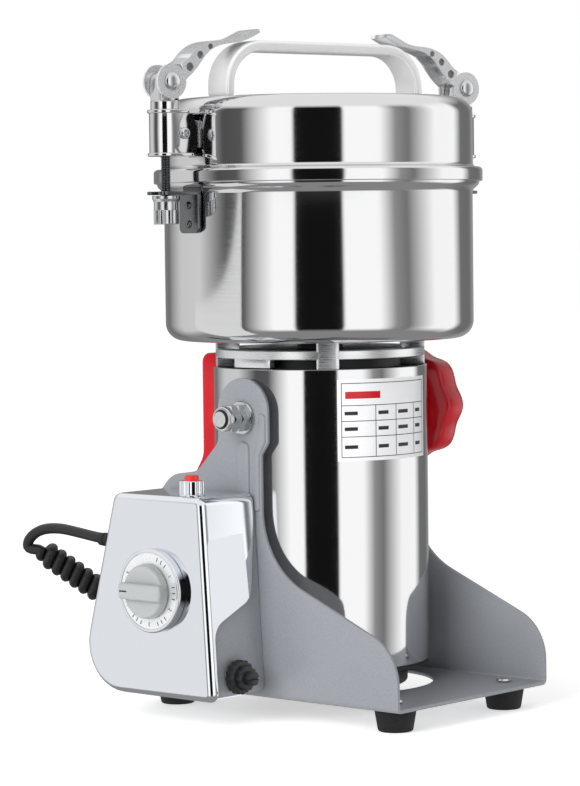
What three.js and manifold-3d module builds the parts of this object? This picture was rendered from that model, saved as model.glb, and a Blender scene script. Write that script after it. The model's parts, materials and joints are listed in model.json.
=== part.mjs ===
// A tilting high-speed grain mill: a latched steel bowl on a motor that hangs between two sheet arms.
// Millimetres. +Z is up, +X is the side of the clamp knob, -Y is the open front of the base.
// The model is laid out with the motor's axis on X = Y = 0, and the whole group is then moved so that
// its origin is the centre of the object's footprint.
import * as THREE from 'three';
import { mergeVertices } from 'three/addons/utils/BufferGeometryUtils.js';
import Module from 'manifold-3d';

const wasm = await Module();
wasm.setup();

// ---------------------------------------------------------------- driving dimensions

const gap = 0.3;               // clearance between pieces that touch
const running = 0.3;           // radial clearance of a shaft in its hole

const barrelRadius = 55.5;
const barrelHeight = 153;
const barrelWall = 1.5;
const barrelBottom = 24.5;     // height of the barrel's lower edge above the table

const bowlRadius = 80;
const bowlWall = 1.2;
const bowlCorner = 9;
const bowlDepth = 80.8;        // bowl floor to the lower edge of the lid's band
const neckHeight = 13.7;       // barrel's top edge to the bowl floor

const lidHeight = 35.9;        // top of the lid's band to the top of the lid
const lidCorner = 9;
const bandStep = 5.2;          // how far the lid's band stands out from the bowl's wall
const bandHeight = 7.3;
const rimStep = 3.5;           // how far the bowl's rim stands out from its wall

const sheet = 2;               // thickness of the base's sheet
const armGap = 3.2;            // barrel to the arm beside it
const footHeight = 11.5;
const footRadius = 10.5;
const baseFront = 100;
const baseBack = 78;
const armHalfWidth = 16.9;
const armCrown = 20.1;         // arm's top above the trunnion
const trunnionDrop = 24.3;     // barrel's top edge down to the trunnion
const frontWallHeight = 30.3;  // low front corner of a side wall, above the plate's underside
const holeSide = 6.5;          // plate hole's edge, inside the barrel's own radius
const holeEnd = 4;             // plate hole's end, outside the barrel's own radius

const boxDepth = 40.5;
const boxSkin = 1.2;
const boxTop = 115.5;
const boxBottom = 13.5;
const boxFrontTop = -8.4;
const boxFrontBottom = -14.9;
const boxBackTop = 53.5;
const boxBackBottom = 81.3;
const boxHeel = 24;            // radius of the box's lower back corner
const boxEdge = 5;

const dialRadius = 21.2;
const dialThickness = 4.6;
const dialAt = { y: 23.6, z: 67.8 };
const knobRadius = 14;
const knobHeight = 4.5;
const knobBar = 3;
const timerShaft = 3;

const studRadius = 4;
const clampRadius = 30.5;
const clampThickness = 16;
const clampLobes = 8;

const handleSpan = 128;
const handleWidth = 17;
const handleThickness = 5.5;
const handleHeight = 28.8;
const handleBend = 23;

const latchTurn = -11.5;       // degrees from the trunnion axis to the line through both latches
const rodReach = 10.8;         // lid's band to the centre of a latch rod
const rodRadius = 2.5;
const sleeveRadius = 8;
const sleeveSkin = 1.5;
const nutRadius = 7;

const shaftRadius = 4;
const bladeReach = 66;
const bladeWidth = 16;
const bladeThickness = 3;

const cableRadius = 2.8;
const coilRadius = 7;

// ---------------------------------------------------------------- heights and places that follow

const plateBottom = footHeight;
const plateTop = plateBottom + sheet;
const barrelTop = barrelBottom + barrelHeight;
const trunnionZ = barrelTop - trunnionDrop;
const bowlFloor = barrelTop + neckHeight;
const bandBottom = bowlFloor + bowlDepth;
const bandTop = bandBottom + bandHeight;
const lidTop = bandTop + lidHeight;
const lidRadius = bowlRadius + gap;
const bandRadius = bowlRadius + bandStep;
const rimRadius = bowlRadius + rimStep;
const wallInner = barrelRadius + armGap;
const wallOuter = wallInner + sheet;
const barrelBore = barrelRadius - barrelWall;
const boxFace = -(wallOuter + boxDepth);
const rodAt = bandRadius + rodReach;
const latchAxis = THREE.MathUtils.degToRad(latchTurn);

// ---------------------------------------------------------------- materials

function finish(color, roughness, metalness) {
  return new THREE.MeshStandardMaterial({ color, roughness, metalness });
}

const polishedSteel = () => finish(0xd9d9db, 0.12, 1);
const chromedSheet = () => finish(0xeef0f4, 0.08, 1);
const hammerPaint = () => finish(0x868c93, 0.5, 0.3);
const castAluminium = () => finish(0xb9bcc0, 0.4, 1);
const satinAluminium = () => finish(0xc4c5c7, 0.35, 1);
const zincSteel = () => finish(0xc8cacc, 0.3, 1);
const stampedSteel = () => finish(0xb4b6b8, 0.3, 1);
const redPhenolic = () => finish(0xc4121f, 0.25, 0);
const blackRubber = () => finish(0x141416, 0.8, 0);
const blackPlastic = () => finish(0x17181a, 0.45, 0);
const greyPlastic = () => finish(0x9ba0a1, 0.45, 0);
const redLens = () => finish(0xe0281c, 0.15, 0);
const whiteSilicone = () => finish(0xe8e6df, 0.6, 0);
const laminatedIron = () => finish(0x55585c, 0.6, 1);
const copperWire = () => finish(0xb06a3a, 0.4, 1);
const groundSteel = () => finish(0xa9abad, 0.35, 1);

// ---------------------------------------------------------------- solids

const wide = 36;                // facets round the barrel, the bowl and what fits them
const medium = 18;              // facets round bosses, bearings and knobs
const close = 96;               // facets of a cut that follows the lid or the barrel closely

function solid(geometry) {
  const bare = geometry.clone();
  bare.deleteAttribute('normal');
  bare.deleteAttribute('uv');
  const merged = mergeVertices(bare, 1e-5);
  const position = merged.attributes.position;
  const index = [];
  for (let i = 0; i < merged.index.count; i += 3) {
    const [a, b, c] = [0, 1, 2].map((k) => merged.index.getX(i + k));
    if (a !== b && b !== c && c !== a) index.push(a, b, c);
  }
  const corner = (i) => new THREE.Vector3().fromBufferAttribute(position, i);
  let volume = 0;
  for (let i = 0; i < index.length; i += 3) {
    volume += corner(index[i]).dot(corner(index[i + 1]).cross(corner(index[i + 2])));
  }
  if (volume < 0) {
    for (let i = 0; i < index.length; i += 3) [index[i], index[i + 1]] = [index[i + 1], index[i]];
  }
  return new wasm.Manifold(new wasm.Mesh({
    numProp: 3,
    vertProperties: new Float32Array(position.array),
    triVerts: new Uint32Array(index),
  }));
}

function joined(...parts) {
  return parts.reduce((whole, part) => whole.add(part));
}

function without(body, ...cutters) {
  return cutters.reduce((rest, cutter) => rest.subtract(cutter), body);
}

function box(x0, x1, y0, y1, z0, z1) {
  const geometry = new THREE.BoxGeometry(x1 - x0, y1 - y0, z1 - z0);
  geometry.translate((x0 + x1) / 2, (y0 + y1) / 2, (z0 + z1) / 2);
  return solid(geometry);
}

// A rod of `sides` sides along one axis ('x', 'y' or 'z') from one coordinate to another.
function rod(axis, radius, from, to, at = {}, sides = 16, endRadius = radius) {
  const geometry = new THREE.CylinderGeometry(endRadius, radius, to - from, sides);
  if (axis === 'x') geometry.rotateZ(-Math.PI / 2);
  if (axis === 'z') geometry.rotateX(Math.PI / 2);
  const middle = (from + to) / 2;
  const place = { x: 0, y: 0, z: 0, ...at, [axis]: middle };
  geometry.translate(place.x, place.y, place.z);
  return solid(geometry);
}

function tube(axis, outer, inner, from, to, at = {}, sides = 16) {
  return without(rod(axis, outer, from, to, at, sides), rod(axis, inner, from - 1, to + 1, at, sides));
}

// Turns a profile of [radius, height] points about the Z axis.
function turned(profile, sides = wide) {
  const geometry = new THREE.LatheGeometry(profile.map(([r, z]) => new THREE.Vector2(r, z)), sides);
  geometry.rotateX(Math.PI / 2);
  return solid(geometry);
}

// An outline of [x, y, radius] corners, each rounded by its own radius.
function rounded(corners) {
  const shape = new THREE.Shape();
  corners.forEach(([x, y, radius = 0], i) => {
    const here = new THREE.Vector2(x, y);
    const before = new THREE.Vector2(...corners.at(i - 1).slice(0, 2)).sub(here).normalize();
    const after = new THREE.Vector2(...corners[(i + 1) % corners.length].slice(0, 2)).sub(here).normalize();
    if (radius === 0) {
      if (i === 0) shape.moveTo(x, y);
      else shape.lineTo(x, y);
      return;
    }
    const half = Math.acos(THREE.MathUtils.clamp(before.dot(after), -1, 1)) / 2;
    const start = here.clone().addScaledVector(before, radius / Math.tan(half));
    const centre = here.clone().addScaledVector(before.clone().add(after).normalize(), radius / Math.sin(half));
    const end = here.clone().addScaledVector(after, radius / Math.tan(half));
    const a0 = Math.atan2(start.y - centre.y, start.x - centre.x);
    const a1 = Math.atan2(end.y - centre.y, end.x - centre.x);
    if (i === 0) shape.moveTo(start.x, start.y);
    else shape.lineTo(start.x, start.y);
    shape.absarc(centre.x, centre.y, radius, a0, a1, before.cross(after) > 0);
  });
  shape.closePath();
  return shape;
}

function extruded(shape, depth, curveSegments = 3) {
  return new THREE.ExtrudeGeometry(shape, { depth, bevelEnabled: false, curveSegments });
}

function prismZ(shape, z0, z1, curveSegments) {
  return solid(extruded(shape, z1 - z0, curveSegments).translate(0, 0, z0));
}

// The shape's own axes are Y and Z.
function prismX(shape, x0, x1, curveSegments) {
  const turn = new THREE.Matrix4().makeBasis(
    new THREE.Vector3(0, 1, 0), new THREE.Vector3(0, 0, 1), new THREE.Vector3(1, 0, 0));
  return solid(extruded(shape, x1 - x0, curveSegments).applyMatrix4(turn).translate(x0, 0, 0));
}

// The shape's own axes are X and Z.
function prismY(shape, y0, y1, curveSegments) {
  const turn = new THREE.Matrix4().makeBasis(
    new THREE.Vector3(1, 0, 0), new THREE.Vector3(0, 0, 1), new THREE.Vector3(0, -1, 0));
  return solid(extruded(shape, y1 - y0, curveSegments).applyMatrix4(turn).translate(0, y1, 0));
}

// Points of a quarter or part of a circle, both ends included.
function arc(cx, cy, radius, fromDegrees, toDegrees, steps) {
  return Array.from({ length: steps + 1 }, (_, i) => {
    const a = THREE.MathUtils.degToRad(fromDegrees + (toDegrees - fromDegrees) * i / steps);
    return [cx + radius * Math.cos(a), cy + radius * Math.sin(a)];
  });
}

function hexagon(acrossFlats) {
  return rounded(arc(0, 0, acrossFlats / Math.sqrt(3), 0, 300, 5));
}

const model = new THREE.Group();

function place(name, body, material, parent = model) {
  const mesh = body.getMesh();
  const geometry = new THREE.BufferGeometry();
  geometry.setAttribute('position', new THREE.BufferAttribute(new Float32Array(mesh.vertProperties), 3));
  geometry.setIndex(new THREE.BufferAttribute(new Uint32Array(mesh.triVerts), 1));
  const piece = new THREE.Mesh(geometry, material);
  piece.name = name;
  parent.add(piece);
}

// ---------------------------------------------------------------- base: plate, two arms, feet

function sideWall() {
  const front = -baseFront;
  const neck = -armHalfWidth + 4.6;
  const crown = trunnionZ + armCrown;
  const hipZ = trunnionZ - 30;
  return rounded([
    [front, plateBottom],
    [baseBack, plateBottom],
    [baseBack, hipZ - 30, 20],
    [50, hipZ - 1, 14],
    [32, hipZ + 1.5, 9],
    [armHalfWidth, trunnionZ - 13, 8],
    [armHalfWidth, crown, armHalfWidth - 0.1],
    [-armHalfWidth, crown, armHalfWidth - 0.1],
    [-armHalfWidth, trunnionZ - 12.5, 4],
    [neck, trunnionZ - 18.5, 4],
    [neck, plateBottom + 67.7, 42],
    [front, plateBottom + frontWallHeight, 26],
  ]);
}

function plateHole() {
  const halfWidth = barrelRadius - holeSide;
  const halfLength = barrelRadius + holeEnd;
  return rounded([
    [-halfWidth, -halfLength, halfWidth - 0.5],
    [halfWidth, -halfLength, halfWidth - 0.5],
    [halfWidth, halfLength, halfWidth - 0.5],
    [-halfWidth, halfLength, halfWidth - 0.5],
  ]);
}

const footX = wallOuter - 16.7;
const footFront = -(baseFront - 15.3);
const footBack = baseBack - 14.4;
const footScrew = 2.2;

function buildBase() {
  const wall = sideWall();
  const feet = [[-footX, footFront], [footX, footFront], [-footX, footBack], [footX, footBack]];
  let frame = joined(
    box(-wallInner - 0.5, wallInner + 0.5, -baseFront, baseBack, plateBottom, plateTop),
    prismX(wall, -wallOuter, -wallInner),
    prismX(wall, wallInner, wallOuter),
  );
  frame = without(
    frame,
    prismZ(plateHole(), plateBottom - 1, plateTop + 1, 6),
    rod('x', studRadius + running, -wallOuter - 1, wallOuter + 1, { z: trunnionZ }),
    ...feet.map(([x, y]) => rod('z', footScrew + running, plateBottom - 1, plateTop + 1, { x, y }, 8)),
  );
  place('base_frame', frame, hammerPaint());
  ['left_front', 'right_front', 'left_back', 'right_back'].forEach((name, i) => {
    const [x, y] = feet[i];
    const pad = rod('z', footRadius - 1.6, 0, plateBottom - gap, { x, y }, 20, footRadius);
    const screw = rod('z', footScrew, plateBottom - 1, plateTop + 1.5, { x, y }, 8);
    place(`foot_${name}`, joined(pad, screw), blackRubber());
  });
}

// ---------------------------------------------------------------- control box on the left arm

// The box's outline, drawn in by `inset` all round.
function boxOutline(inset) {
  const lean = (boxFrontTop - boxFrontBottom) / (boxTop - boxBottom);
  const slope = (boxBackBottom - boxBackTop) / (boxTop - boxBottom);
  const frontAt = (z) => boxFrontBottom + lean * (z - boxBottom) + inset;
  const backAt = (z) => boxBackBottom - slope * (z - boxBottom) - inset;
  const low = boxBottom + inset;
  const high = boxTop - inset;
  return rounded([
    [frontAt(low), low, boxEdge - inset],
    [backAt(low), low, boxHeel - inset],
    [backAt(high), high, boxEdge - inset],
    [frontAt(high), high, boxEdge - inset],
  ]);
}

const lampAt = { x: boxFace + 10.5, y: boxFrontTop + 15.8 };
const lampHole = 4.8;
const fuseAt = { x: boxFace + 18.5, z: boxBottom + 11.7 };
const fuseHole = 5.9;
const cordExit = { x: boxFace + 23.2, z: 88 };
const cordHole = 4.8;
const bushRadius = 4.8;

function boxBackAt(z) {
  return boxBackBottom - (boxBackBottom - boxBackTop) * (z - boxBottom) / (boxTop - boxBottom);
}

function buildControlBox() {
  const shellInset = boxSkin + gap;
  const chassisFace = boxFace + boxSkin + gap;
  const chassisBack = -wallOuter - gap;
  const lampBore = rod('z', lampHole, boxTop - 8, boxTop + 1, lampAt);
  const fuseBore = rod('y', fuseHole, boxFrontBottom - 2, boxFrontTop + 8, fuseAt);
  const backY = boxBackAt(cordExit.z);
  const cordBore = rod('y', cordHole, backY - 8, backY + 4, cordExit);
  const chassis = without(
    prismX(boxOutline(shellInset), chassisFace + 1, chassisBack),
    prismX(boxOutline(shellInset + boxSkin), chassisFace, chassisBack - sheet),
    lampBore, fuseBore, cordBore,
  );
  place('control_box_chassis', chassis, hammerPaint());

  const rim = chassisBack - 2;
  const sideCut = rounded([
    [rim + 1, boxBottom - 1], [rim + 1, boxTop - 1], [rim - 5.7, boxBottom + 49.5, 9],
    [boxFace + 4.2, boxBottom + 37.5, 9], [boxFace + 4.2, boxBottom - 1],
  ].reverse());
  const cover = without(
    prismX(boxOutline(0), boxFace, rim),
    prismX(boxOutline(boxSkin), boxFace + boxSkin, rim + 1),
    prismY(sideCut, boxFrontBottom - 2, boxFrontTop + 3),
    rod('x', bushRadius + running, boxFace - 1, boxFace + boxSkin + 1, dialAt),
    lampBore, cordBore,
  );
  place('control_box_cover', cover, chromedSheet());

  const dialFace = boxFace - gap - dialThickness;
  place('timer_dial', tube('x', dialRadius, bushRadius + running, dialFace, boxFace - gap, dialAt, 32),
    satinAluminium());

  const bodyHalf = 19;
  const bodyFront = chassisFace + 1;
  const bodyBack = bodyFront + 20;
  const works = box(bodyFront, bodyBack, dialAt.y - bodyHalf, dialAt.y + bodyHalf,
    dialAt.z - bodyHalf, dialAt.z + bodyHalf);
  const bush = rod('x', bushRadius, dialFace + 1, bodyFront + 1, dialAt);
  const shaftBore = rod('x', timerShaft + running, dialFace, bodyFront + 12, dialAt);
  place('timer_mechanism', without(joined(works, bush), shaftBore), blackPlastic());

  const knobBase = dialFace - gap;
  const knobFace = knobBase - knobHeight;
  const grip = box(knobFace - knobBar, knobFace + 1, dialAt.y - knobRadius, dialAt.y + knobRadius,
    dialAt.z - 4, dialAt.z + 4);
  const knob = joined(
    rod('x', knobRadius, knobFace, knobBase, dialAt, medium),
    grip.intersect(rod('x', knobRadius + 0.6, knobFace - knobBar - 1, knobBase, dialAt, medium)),
    rod('x', timerShaft, knobFace + 1, bodyFront + 10, dialAt, 16),
  );
  place('timer_knob', knob, greyPlastic());

  const bezelBase = boxTop + gap;
  const bezel = without(
    joined(rod('z', 6.6, bezelBase, bezelBase + 7.4, lampAt, 12),
      rod('z', lampHole - gap, boxTop - 12, bezelBase + 1, lampAt)),
    rod('z', 3.7, boxTop - 13, bezelBase + 9, lampAt, 12),
  );
  place('pilot_lamp_bezel', bezel, chromedSheet());
  place('pilot_lamp_lens', rod('z', 3.4, boxTop - 6, bezelBase + 10, lampAt, 12, 3.1), redLens());

  const wallY = boxFrontBottom + shellInset;
  const fuse = joined(
    rod('y', fuseHole - gap, wallY - 1, wallY + 25, fuseAt),
    rod('y', 8.7, wallY - 5.6, wallY - 0.4, fuseAt, 14),
    rod('y', 6.2, wallY - 9, wallY - 5, fuseAt, 14, 6.6),
    rod('y', 3.7, wallY - 13, wallY - 8, fuseAt, 10),
  );
  place('fuse_holder', fuse, blackPlastic());

  const flange = backY + 2;
  const gland = joined(
    rod('y', cordHole - gap, backY - 10, flange + 1, cordExit, 12),
    rod('y', 5.2, flange, flange + 3, cordExit, 12, 6.2),
  );
  place('cord_gland_box', gland, blackRubber());
  return new THREE.Vector3(cordExit.x, flange + 3 + gap, cordExit.z);
}

// ---------------------------------------------------------------- motor

const armatureRadius = 26.5;
const statorOuter = barrelBore - 4;
const statorBore = armatureRadius + 1.5;
const statorBottom = barrelBottom + 50;
const statorTop = barrelBottom + 98;
const bearing = { bore: shaftRadius + running, outer: 11, height: 7 };
const lowerBearingZ = barrelBottom + 17;
const upperBearingZ = barrelTop - 10;
const ringRadius = barrelRadius - 1.2;

function buildMotorShell() {
  const studBore = rod('x', studRadius + running, -barrelRadius - 1, barrelRadius + 1, { z: trunnionZ });
  place('motor_barrel', without(tube('z', barrelRadius, barrelBore, barrelBottom, barrelTop, {}, wide), studBore),
    polishedSteel());

  const plug = barrelBore - gap;
  const capRadius = barrelRadius - 11.5;
  const capFloor = plateBottom + 0.5;
  const cap = turned([
    [0, capFloor], [capRadius - 2, capFloor], [capRadius, capFloor + 2], [capRadius, barrelBottom - 2],
    [barrelRadius - 0.5, barrelBottom - 2], [barrelRadius - 0.5, barrelBottom - gap],
    [plug, barrelBottom - gap], [plug, barrelBottom + 4], [plug - 2, barrelBottom + 4],
    [plug - 2, barrelBottom + 0.5], [capRadius - 2, barrelBottom - 1.5], [capRadius - 2, capFloor + 3],
    [0, capFloor + 3],
  ]);
  const vents = Array.from({ length: 6 }, (_, i) => {
    const a = (i + 0.5) * Math.PI / 3;
    return rod('z', 5, capFloor - 1, capFloor + 4, { x: 29 * Math.cos(a), y: 29 * Math.sin(a) }, 6);
  });
  place('bottom_cap', without(cap, ...vents), blackPlastic());

  const lowerDisc = without(
    joined(tube('z', plug, plug - 6, lowerBearingZ - 2, lowerBearingZ + bearing.height, {}, wide),
      box(-plug + 2, plug - 2, -7, 7, lowerBearingZ - 2, lowerBearingZ + 4),
      rod('z', bearing.outer + 4, lowerBearingZ - 2, lowerBearingZ + bearing.height, {}, medium)),
    rod('z', bearing.outer + gap, lowerBearingZ, lowerBearingZ + bearing.height + 1, {}, medium),
    rod('z', bearing.outer - 3, lowerBearingZ - 3, lowerBearingZ + 1, {}, medium),
  );
  place('lower_end_frame', lowerDisc, castAluminium());

  const ringLow = barrelTop + 4.7;
  const posts = [45, 135, 225, 315].map((degrees) => {
    const a = THREE.MathUtils.degToRad(degrees);
    const post = solid(new THREE.BoxGeometry(12, 11.5, neckHeight + 1).translate(
      ringRadius - 6, 0, barrelTop + neckHeight / 2 - gap - 0.5).rotateZ(a));
    return post.intersect(rod('z', ringRadius, barrelTop - 10, bowlFloor, {}, wide));
  });
  const upper = without(
    joined(
      rod('z', plug, barrelTop - 8, barrelTop - 0.3, {}, wide),
      tube('z', ringRadius, ringRadius - 8, ringLow, ringLow + 4.6, {}, wide),
      rod('z', bearing.outer + 4, upperBearingZ - 4, barrelTop, {}, medium),
      rod('z', ringRadius - 13, barrelTop - 1, bowlFloor - 5, {}, wide),
      ...posts,
    ),
    rod('z', bearing.outer + gap, upperBearingZ - 5, upperBearingZ + bearing.height, {}, medium),
    rod('z', bearing.outer - 3, barrelTop - 20, bowlFloor, {}, medium),
  );
  const trimmed = upper.intersect(joined(
    rod('z', plug, barrelTop - 20, barrelTop + gap, {}, wide),
    rod('z', ringRadius, barrelTop + gap, bowlFloor - gap, {}, wide),
  ));
  place('upper_end_frame', trimmed, castAluminium());

  for (const [name, z] of [['lower_bearing', lowerBearingZ + gap], ['upper_bearing', upperBearingZ - gap]]) {
    place(name, tube('z', bearing.outer, bearing.bore, z, z + bearing.height - gap, {}, medium), groundSteel());
  }
}

// A field coil is a frame of wire round one pole: two arcs over the pole's ends and two straight sides.
function coilFrame(grow) {
  const inner = statorBore + 1 - grow;
  const outer = statorBore + 8.3 + grow;
  const outerAngle = 61 + grow;
  const innerAngle = 42 - grow;
  const sector = (angle, low, high, from, to) => {
    const points = [...arc(0, 0, from, -angle, angle, 8), ...arc(0, 0, to, angle, -angle, 8)];
    return prismZ(rounded(points), low, high);
  };
  return without(
    sector(outerAngle, statorBottom - 10 - grow, statorTop + 10 + grow, inner, outer),
    sector(innerAngle, statorBottom - 2 + grow, statorTop + 2 - grow, inner - 5, outer + 5),
  );
}

function buildMotorWorks() {
  const coil = coilFrame(0);
  const slot = coilFrame(0.5);
  const core = without(
    rod('z', statorOuter, statorBottom, statorTop, {}, wide),
    rod('z', statorBore, statorBottom - 1, statorTop + 1, {}, wide),
    slot, slot.rotate([0, 0, 180]),
  );
  place('stator_core', core, laminatedIron());
  place('field_coil_right', coil, copperWire());
  place('field_coil_left', coil.rotate([0, 0, 180]), copperWire());

  const brushZ = barrelBottom + 33;
  const commutatorRadius = 13;
  for (const [name, side] of [['brush_holder_front', -1], ['brush_holder_back', 1]]) {
    const near = commutatorRadius + gap;
    const far = barrelBore - 4;
    const holder = joined(
      box(-5, 5, near + 6, far, brushZ - 6, brushZ + 6),
      box(-3, 3, near, near + 7, brushZ - 3.5, brushZ + 3.5),
    );
    place(name, side < 0 ? holder.rotate([0, 0, 180]) : holder, blackPlastic());
  }

  const shaftBottom = barrelBottom + 5;
  const bladeSeat = bowlFloor + 8.5;
  const shaftTop = bladeSeat + 30;
  place('motor_shaft', joined(
    rod('z', shaftRadius, shaftBottom, shaftTop, {}, 16),
    rod('z', shaftRadius + 3, bladeSeat - 3.5, bladeSeat, {}, 16),
  ), groundSteel());

  const shaftHole = shaftRadius + gap;
  const head = (z0, z1) => rod('z', armatureRadius - 5, z0, z1, {}, medium);
  const slots = Array.from({ length: 8 }, (_, i) => {
    const a = i * Math.PI / 4;
    return solid(new THREE.BoxGeometry(6, 2, statorTop - statorBottom + 10).translate(armatureRadius, 0,
      (statorTop + statorBottom) / 2).rotateZ(a));
  });
  place('armature', without(
    joined(rod('z', armatureRadius, statorBottom + 1, statorTop - 1, {}, wide),
      head(statorBottom - 7, statorBottom + 2), head(statorTop - 2, statorTop + 7)),
    rod('z', shaftHole, statorBottom - 20, statorTop + 20, {}, 16), ...slots,
  ), laminatedIron());
  place('commutator', tube('z', commutatorRadius, shaftHole, brushZ - 7, brushZ + 8, {}, 36), copperWire());

  const fanBottom = barrelBottom + 6;
  const vane = (i) => solid(new THREE.BoxGeometry(30, 1.6, 7).translate(25, 0, fanBottom + 4.5)
    .rotateZ(i * Math.PI / 4));
  const fan = without(
    joined(rod('z', 40, fanBottom, fanBottom + 1.6, {}, wide), rod('z', 11, fanBottom, fanBottom + 8, {}, medium),
      ...Array.from({ length: 8 }, (_, i) => vane(i))),
    rod('z', shaftHole, fanBottom - 1, fanBottom + 10, {}, 16),
  );
  place('cooling_fan', fan, blackPlastic());

  const barBox = (z) => box(-bladeReach, bladeReach, -bladeWidth / 2, bladeWidth / 2, z, z + bladeThickness);
  const boss = (r, z0, z1) => rod('z', r, z0, z1, {}, 16);
  const lowZ = bladeSeat + gap;
  const spacerTop = lowZ + 15;
  place('lower_blade', without(barBox(lowZ), boss(shaftHole, lowZ - 1, lowZ + 5)), groundSteel());
  const upperBar = barBox(spacerTop).rotate([0, 0, 90]);
  place('upper_blade', without(joined(upperBar, boss(8, lowZ + bladeThickness + gap, spacerTop + 1)),
    boss(shaftHole, lowZ, spacerTop + 10)), groundSteel());
  const nutZ = spacerTop + bladeThickness + gap;
  place('blade_nut', without(prismZ(hexagon(13), nutZ, nutZ + 6.5), boss(shaftHole, nutZ - 1, nutZ + 8)),
    zincSteel());
}

function buildTrunnions() {
  const head = barrelBore - 1.2;
  for (const [name, side] of [['left', -1], ['right', 1]]) {
    const stud = joined(
      rod('x', 8, head - 4, head, { z: trunnionZ }, 6),
      rod('x', studRadius, head - 1, wallOuter + 17, { z: trunnionZ }),
    );
    place(`trunnion_stud_${name}`, side < 0 ? stud.mirror([1, 0, 0]) : stud, zincSteel());
  }
  const nutNear = -wallOuter - gap;
  const bore = rod('x', studRadius + running, nutNear - 30, nutNear + 5, { z: trunnionZ });
  const nut = joined(
    rod('x', 8.5, nutNear - 1.6, nutNear, { z: trunnionZ }, 20),
    rod('x', 7.5, nutNear - 7.5, nutNear - 1.5, { z: trunnionZ }, 6),
    rod('x', 7.5, nutNear - 12.5, nutNear - 7, { z: trunnionZ }, 6),
    rod('x', 6.3, nutNear - 15.5, nutNear - 12, { z: trunnionZ }, 20),
  );
  place('locknut_left', without(nut, bore), zincSteel());

  const hub = wallOuter + gap;
  const disc = hub + 8;
  const lobed = rounded(Array.from({ length: clampLobes * 4 }, (_, i) => {
    const a = i * Math.PI / (clampLobes * 2);
    const r = clampRadius - 1.6 * (1 - Math.cos(clampLobes * a)) / 2;
    return [r * Math.cos(a), trunnionZ + r * Math.sin(a)];
  }));
  const knob = without(
    joined(rod('x', 12, hub, disc + 1, { z: trunnionZ }, 20), prismX(lobed, disc, disc + clampThickness)),
    rod('x', studRadius + running, hub - 1, wallOuter + 18, { z: trunnionZ }),
  );
  place('clamp_knob', knob, redPhenolic());
}

const gripHalfWidth = 15;
const gripReach = 15;          // how far the grip stands out from the barrel
const gripTop = barrelTop + 5.5;
const gripBottom = trunnionZ - 51;

function buildRearGrip() {
  const outer = barrelRadius + gripReach;
  const outline = rounded([
    [0, gripTop], [0, gripBottom], [outer + 11.5, gripBottom, 2], [outer + 13.5, gripBottom + 5, 3],
    [outer, gripBottom + 26, 12], [outer, gripTop, 5],
  ].reverse());
  const grip = without(
    prismX(outline, -gripHalfWidth, gripHalfWidth),
    rod('z', barrelRadius + gap, gripBottom - 1, gripTop + 1, {}, close),
  );
  const channelHalf = 8;
  const channel = box(-channelHalf, channelHalf, barrelRadius - 5, outer - 3, gripBottom - 1, gripTop - 12);
  place('rear_grip', without(grip, channel), redPhenolic());

  const glandY = barrelRadius + 6.2;
  const glandZ = gripBottom;
  place('cord_gland_motor', joined(
    rod('z', 5, glandZ - 8, glandZ + 12, { y: glandY }, 20),
  ), blackRubber());
  return new THREE.Vector3(0, glandY, glandZ - 8 - gap);
}

// ---------------------------------------------------------------- bowl and lid

function buildBowlAndLid() {
  const sealHole = 10.3;
  const inner = bowlRadius - bowlWall;
  const floorTop = bowlFloor + bowlWall;
  const rimTop = bandBottom + 4.2;
  const bowl = turned([
    [sealHole, bowlFloor],
    ...arc(bowlRadius - bowlCorner, bowlFloor + bowlCorner, bowlCorner, -90, 0, 3),
    [bowlRadius, bandBottom - 3.5], [rimRadius, bandBottom - 0.8], [rimRadius, rimTop],
    [inner, rimTop],
    ...arc(bowlRadius - bowlCorner, bowlFloor + bowlCorner, bowlCorner - bowlWall, 0, -90, 3),
    [sealHole, floorTop], [sealHole, bowlFloor],
  ]);
  place('grinding_bowl', bowl, polishedSteel());

  const sealTop = floorTop + 3;
  place('shaft_seal', without(
    joined(rod('z', sealHole - gap, bowlFloor - 3, sealTop, {}, medium),
      rod('z', sealHole + 3, floorTop + gap, sealTop, {}, medium)),
    rod('z', shaftRadius + running, bowlFloor - 10, sealTop + 1, {}, 16),
  ), blackRubber());

  const gasketLow = rimTop + gap;
  const bandRoof = bandTop - bowlWall;
  place('lid_gasket', tube('z', rimRadius - 0.2, inner + 1, gasketLow, bandRoof - gap, {}, wide), whiteSilicone());

  const shoulder = lidRadius - lidCorner;
  const lidInner = lidRadius - bowlWall;
  const lid = turned([
    [bandRadius, bandBottom], [bandRadius, bandTop - 1], [bandRadius - 1, bandTop],
    [lidRadius + 1, bandTop], [lidRadius, bandTop + 1],
    ...arc(shoulder, lidTop - lidCorner, lidCorner, 0, 90, 3),
    [0, lidTop], [0, lidTop - bowlWall],
    ...arc(shoulder, lidTop - lidCorner, lidCorner - bowlWall, 90, 0, 3),
    [lidInner, bandRoof], [bandRadius - bowlWall, bandRoof], [bandRadius - bowlWall, bandBottom],
    [bandRadius, bandBottom],
  ]);
  place('lid', lid, polishedSteel());
}

function buildHandle() {
  const half = handleSpan / 2;
  const foot = lidTop + gap;
  const top = lidTop + handleHeight;
  const inner = half - handleThickness;
  const strap = rounded([
    [-half, foot], [-inner, foot], [-inner, top - handleThickness, handleBend - handleThickness],
    [inner, top - handleThickness, handleBend - handleThickness], [inner, foot], [half, foot],
    [half, top, handleBend], [-half, top, handleBend],
  ]);
  const turnedFrame = new THREE.Group();
  turnedFrame.rotation.z = latchAxis;
  model.add(turnedFrame);
  place('carry_handle', prismY(strap, -handleWidth / 2, handleWidth / 2, 10), satinAluminium(), turnedFrame);
}

// ---------------------------------------------------------------- latches

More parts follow.
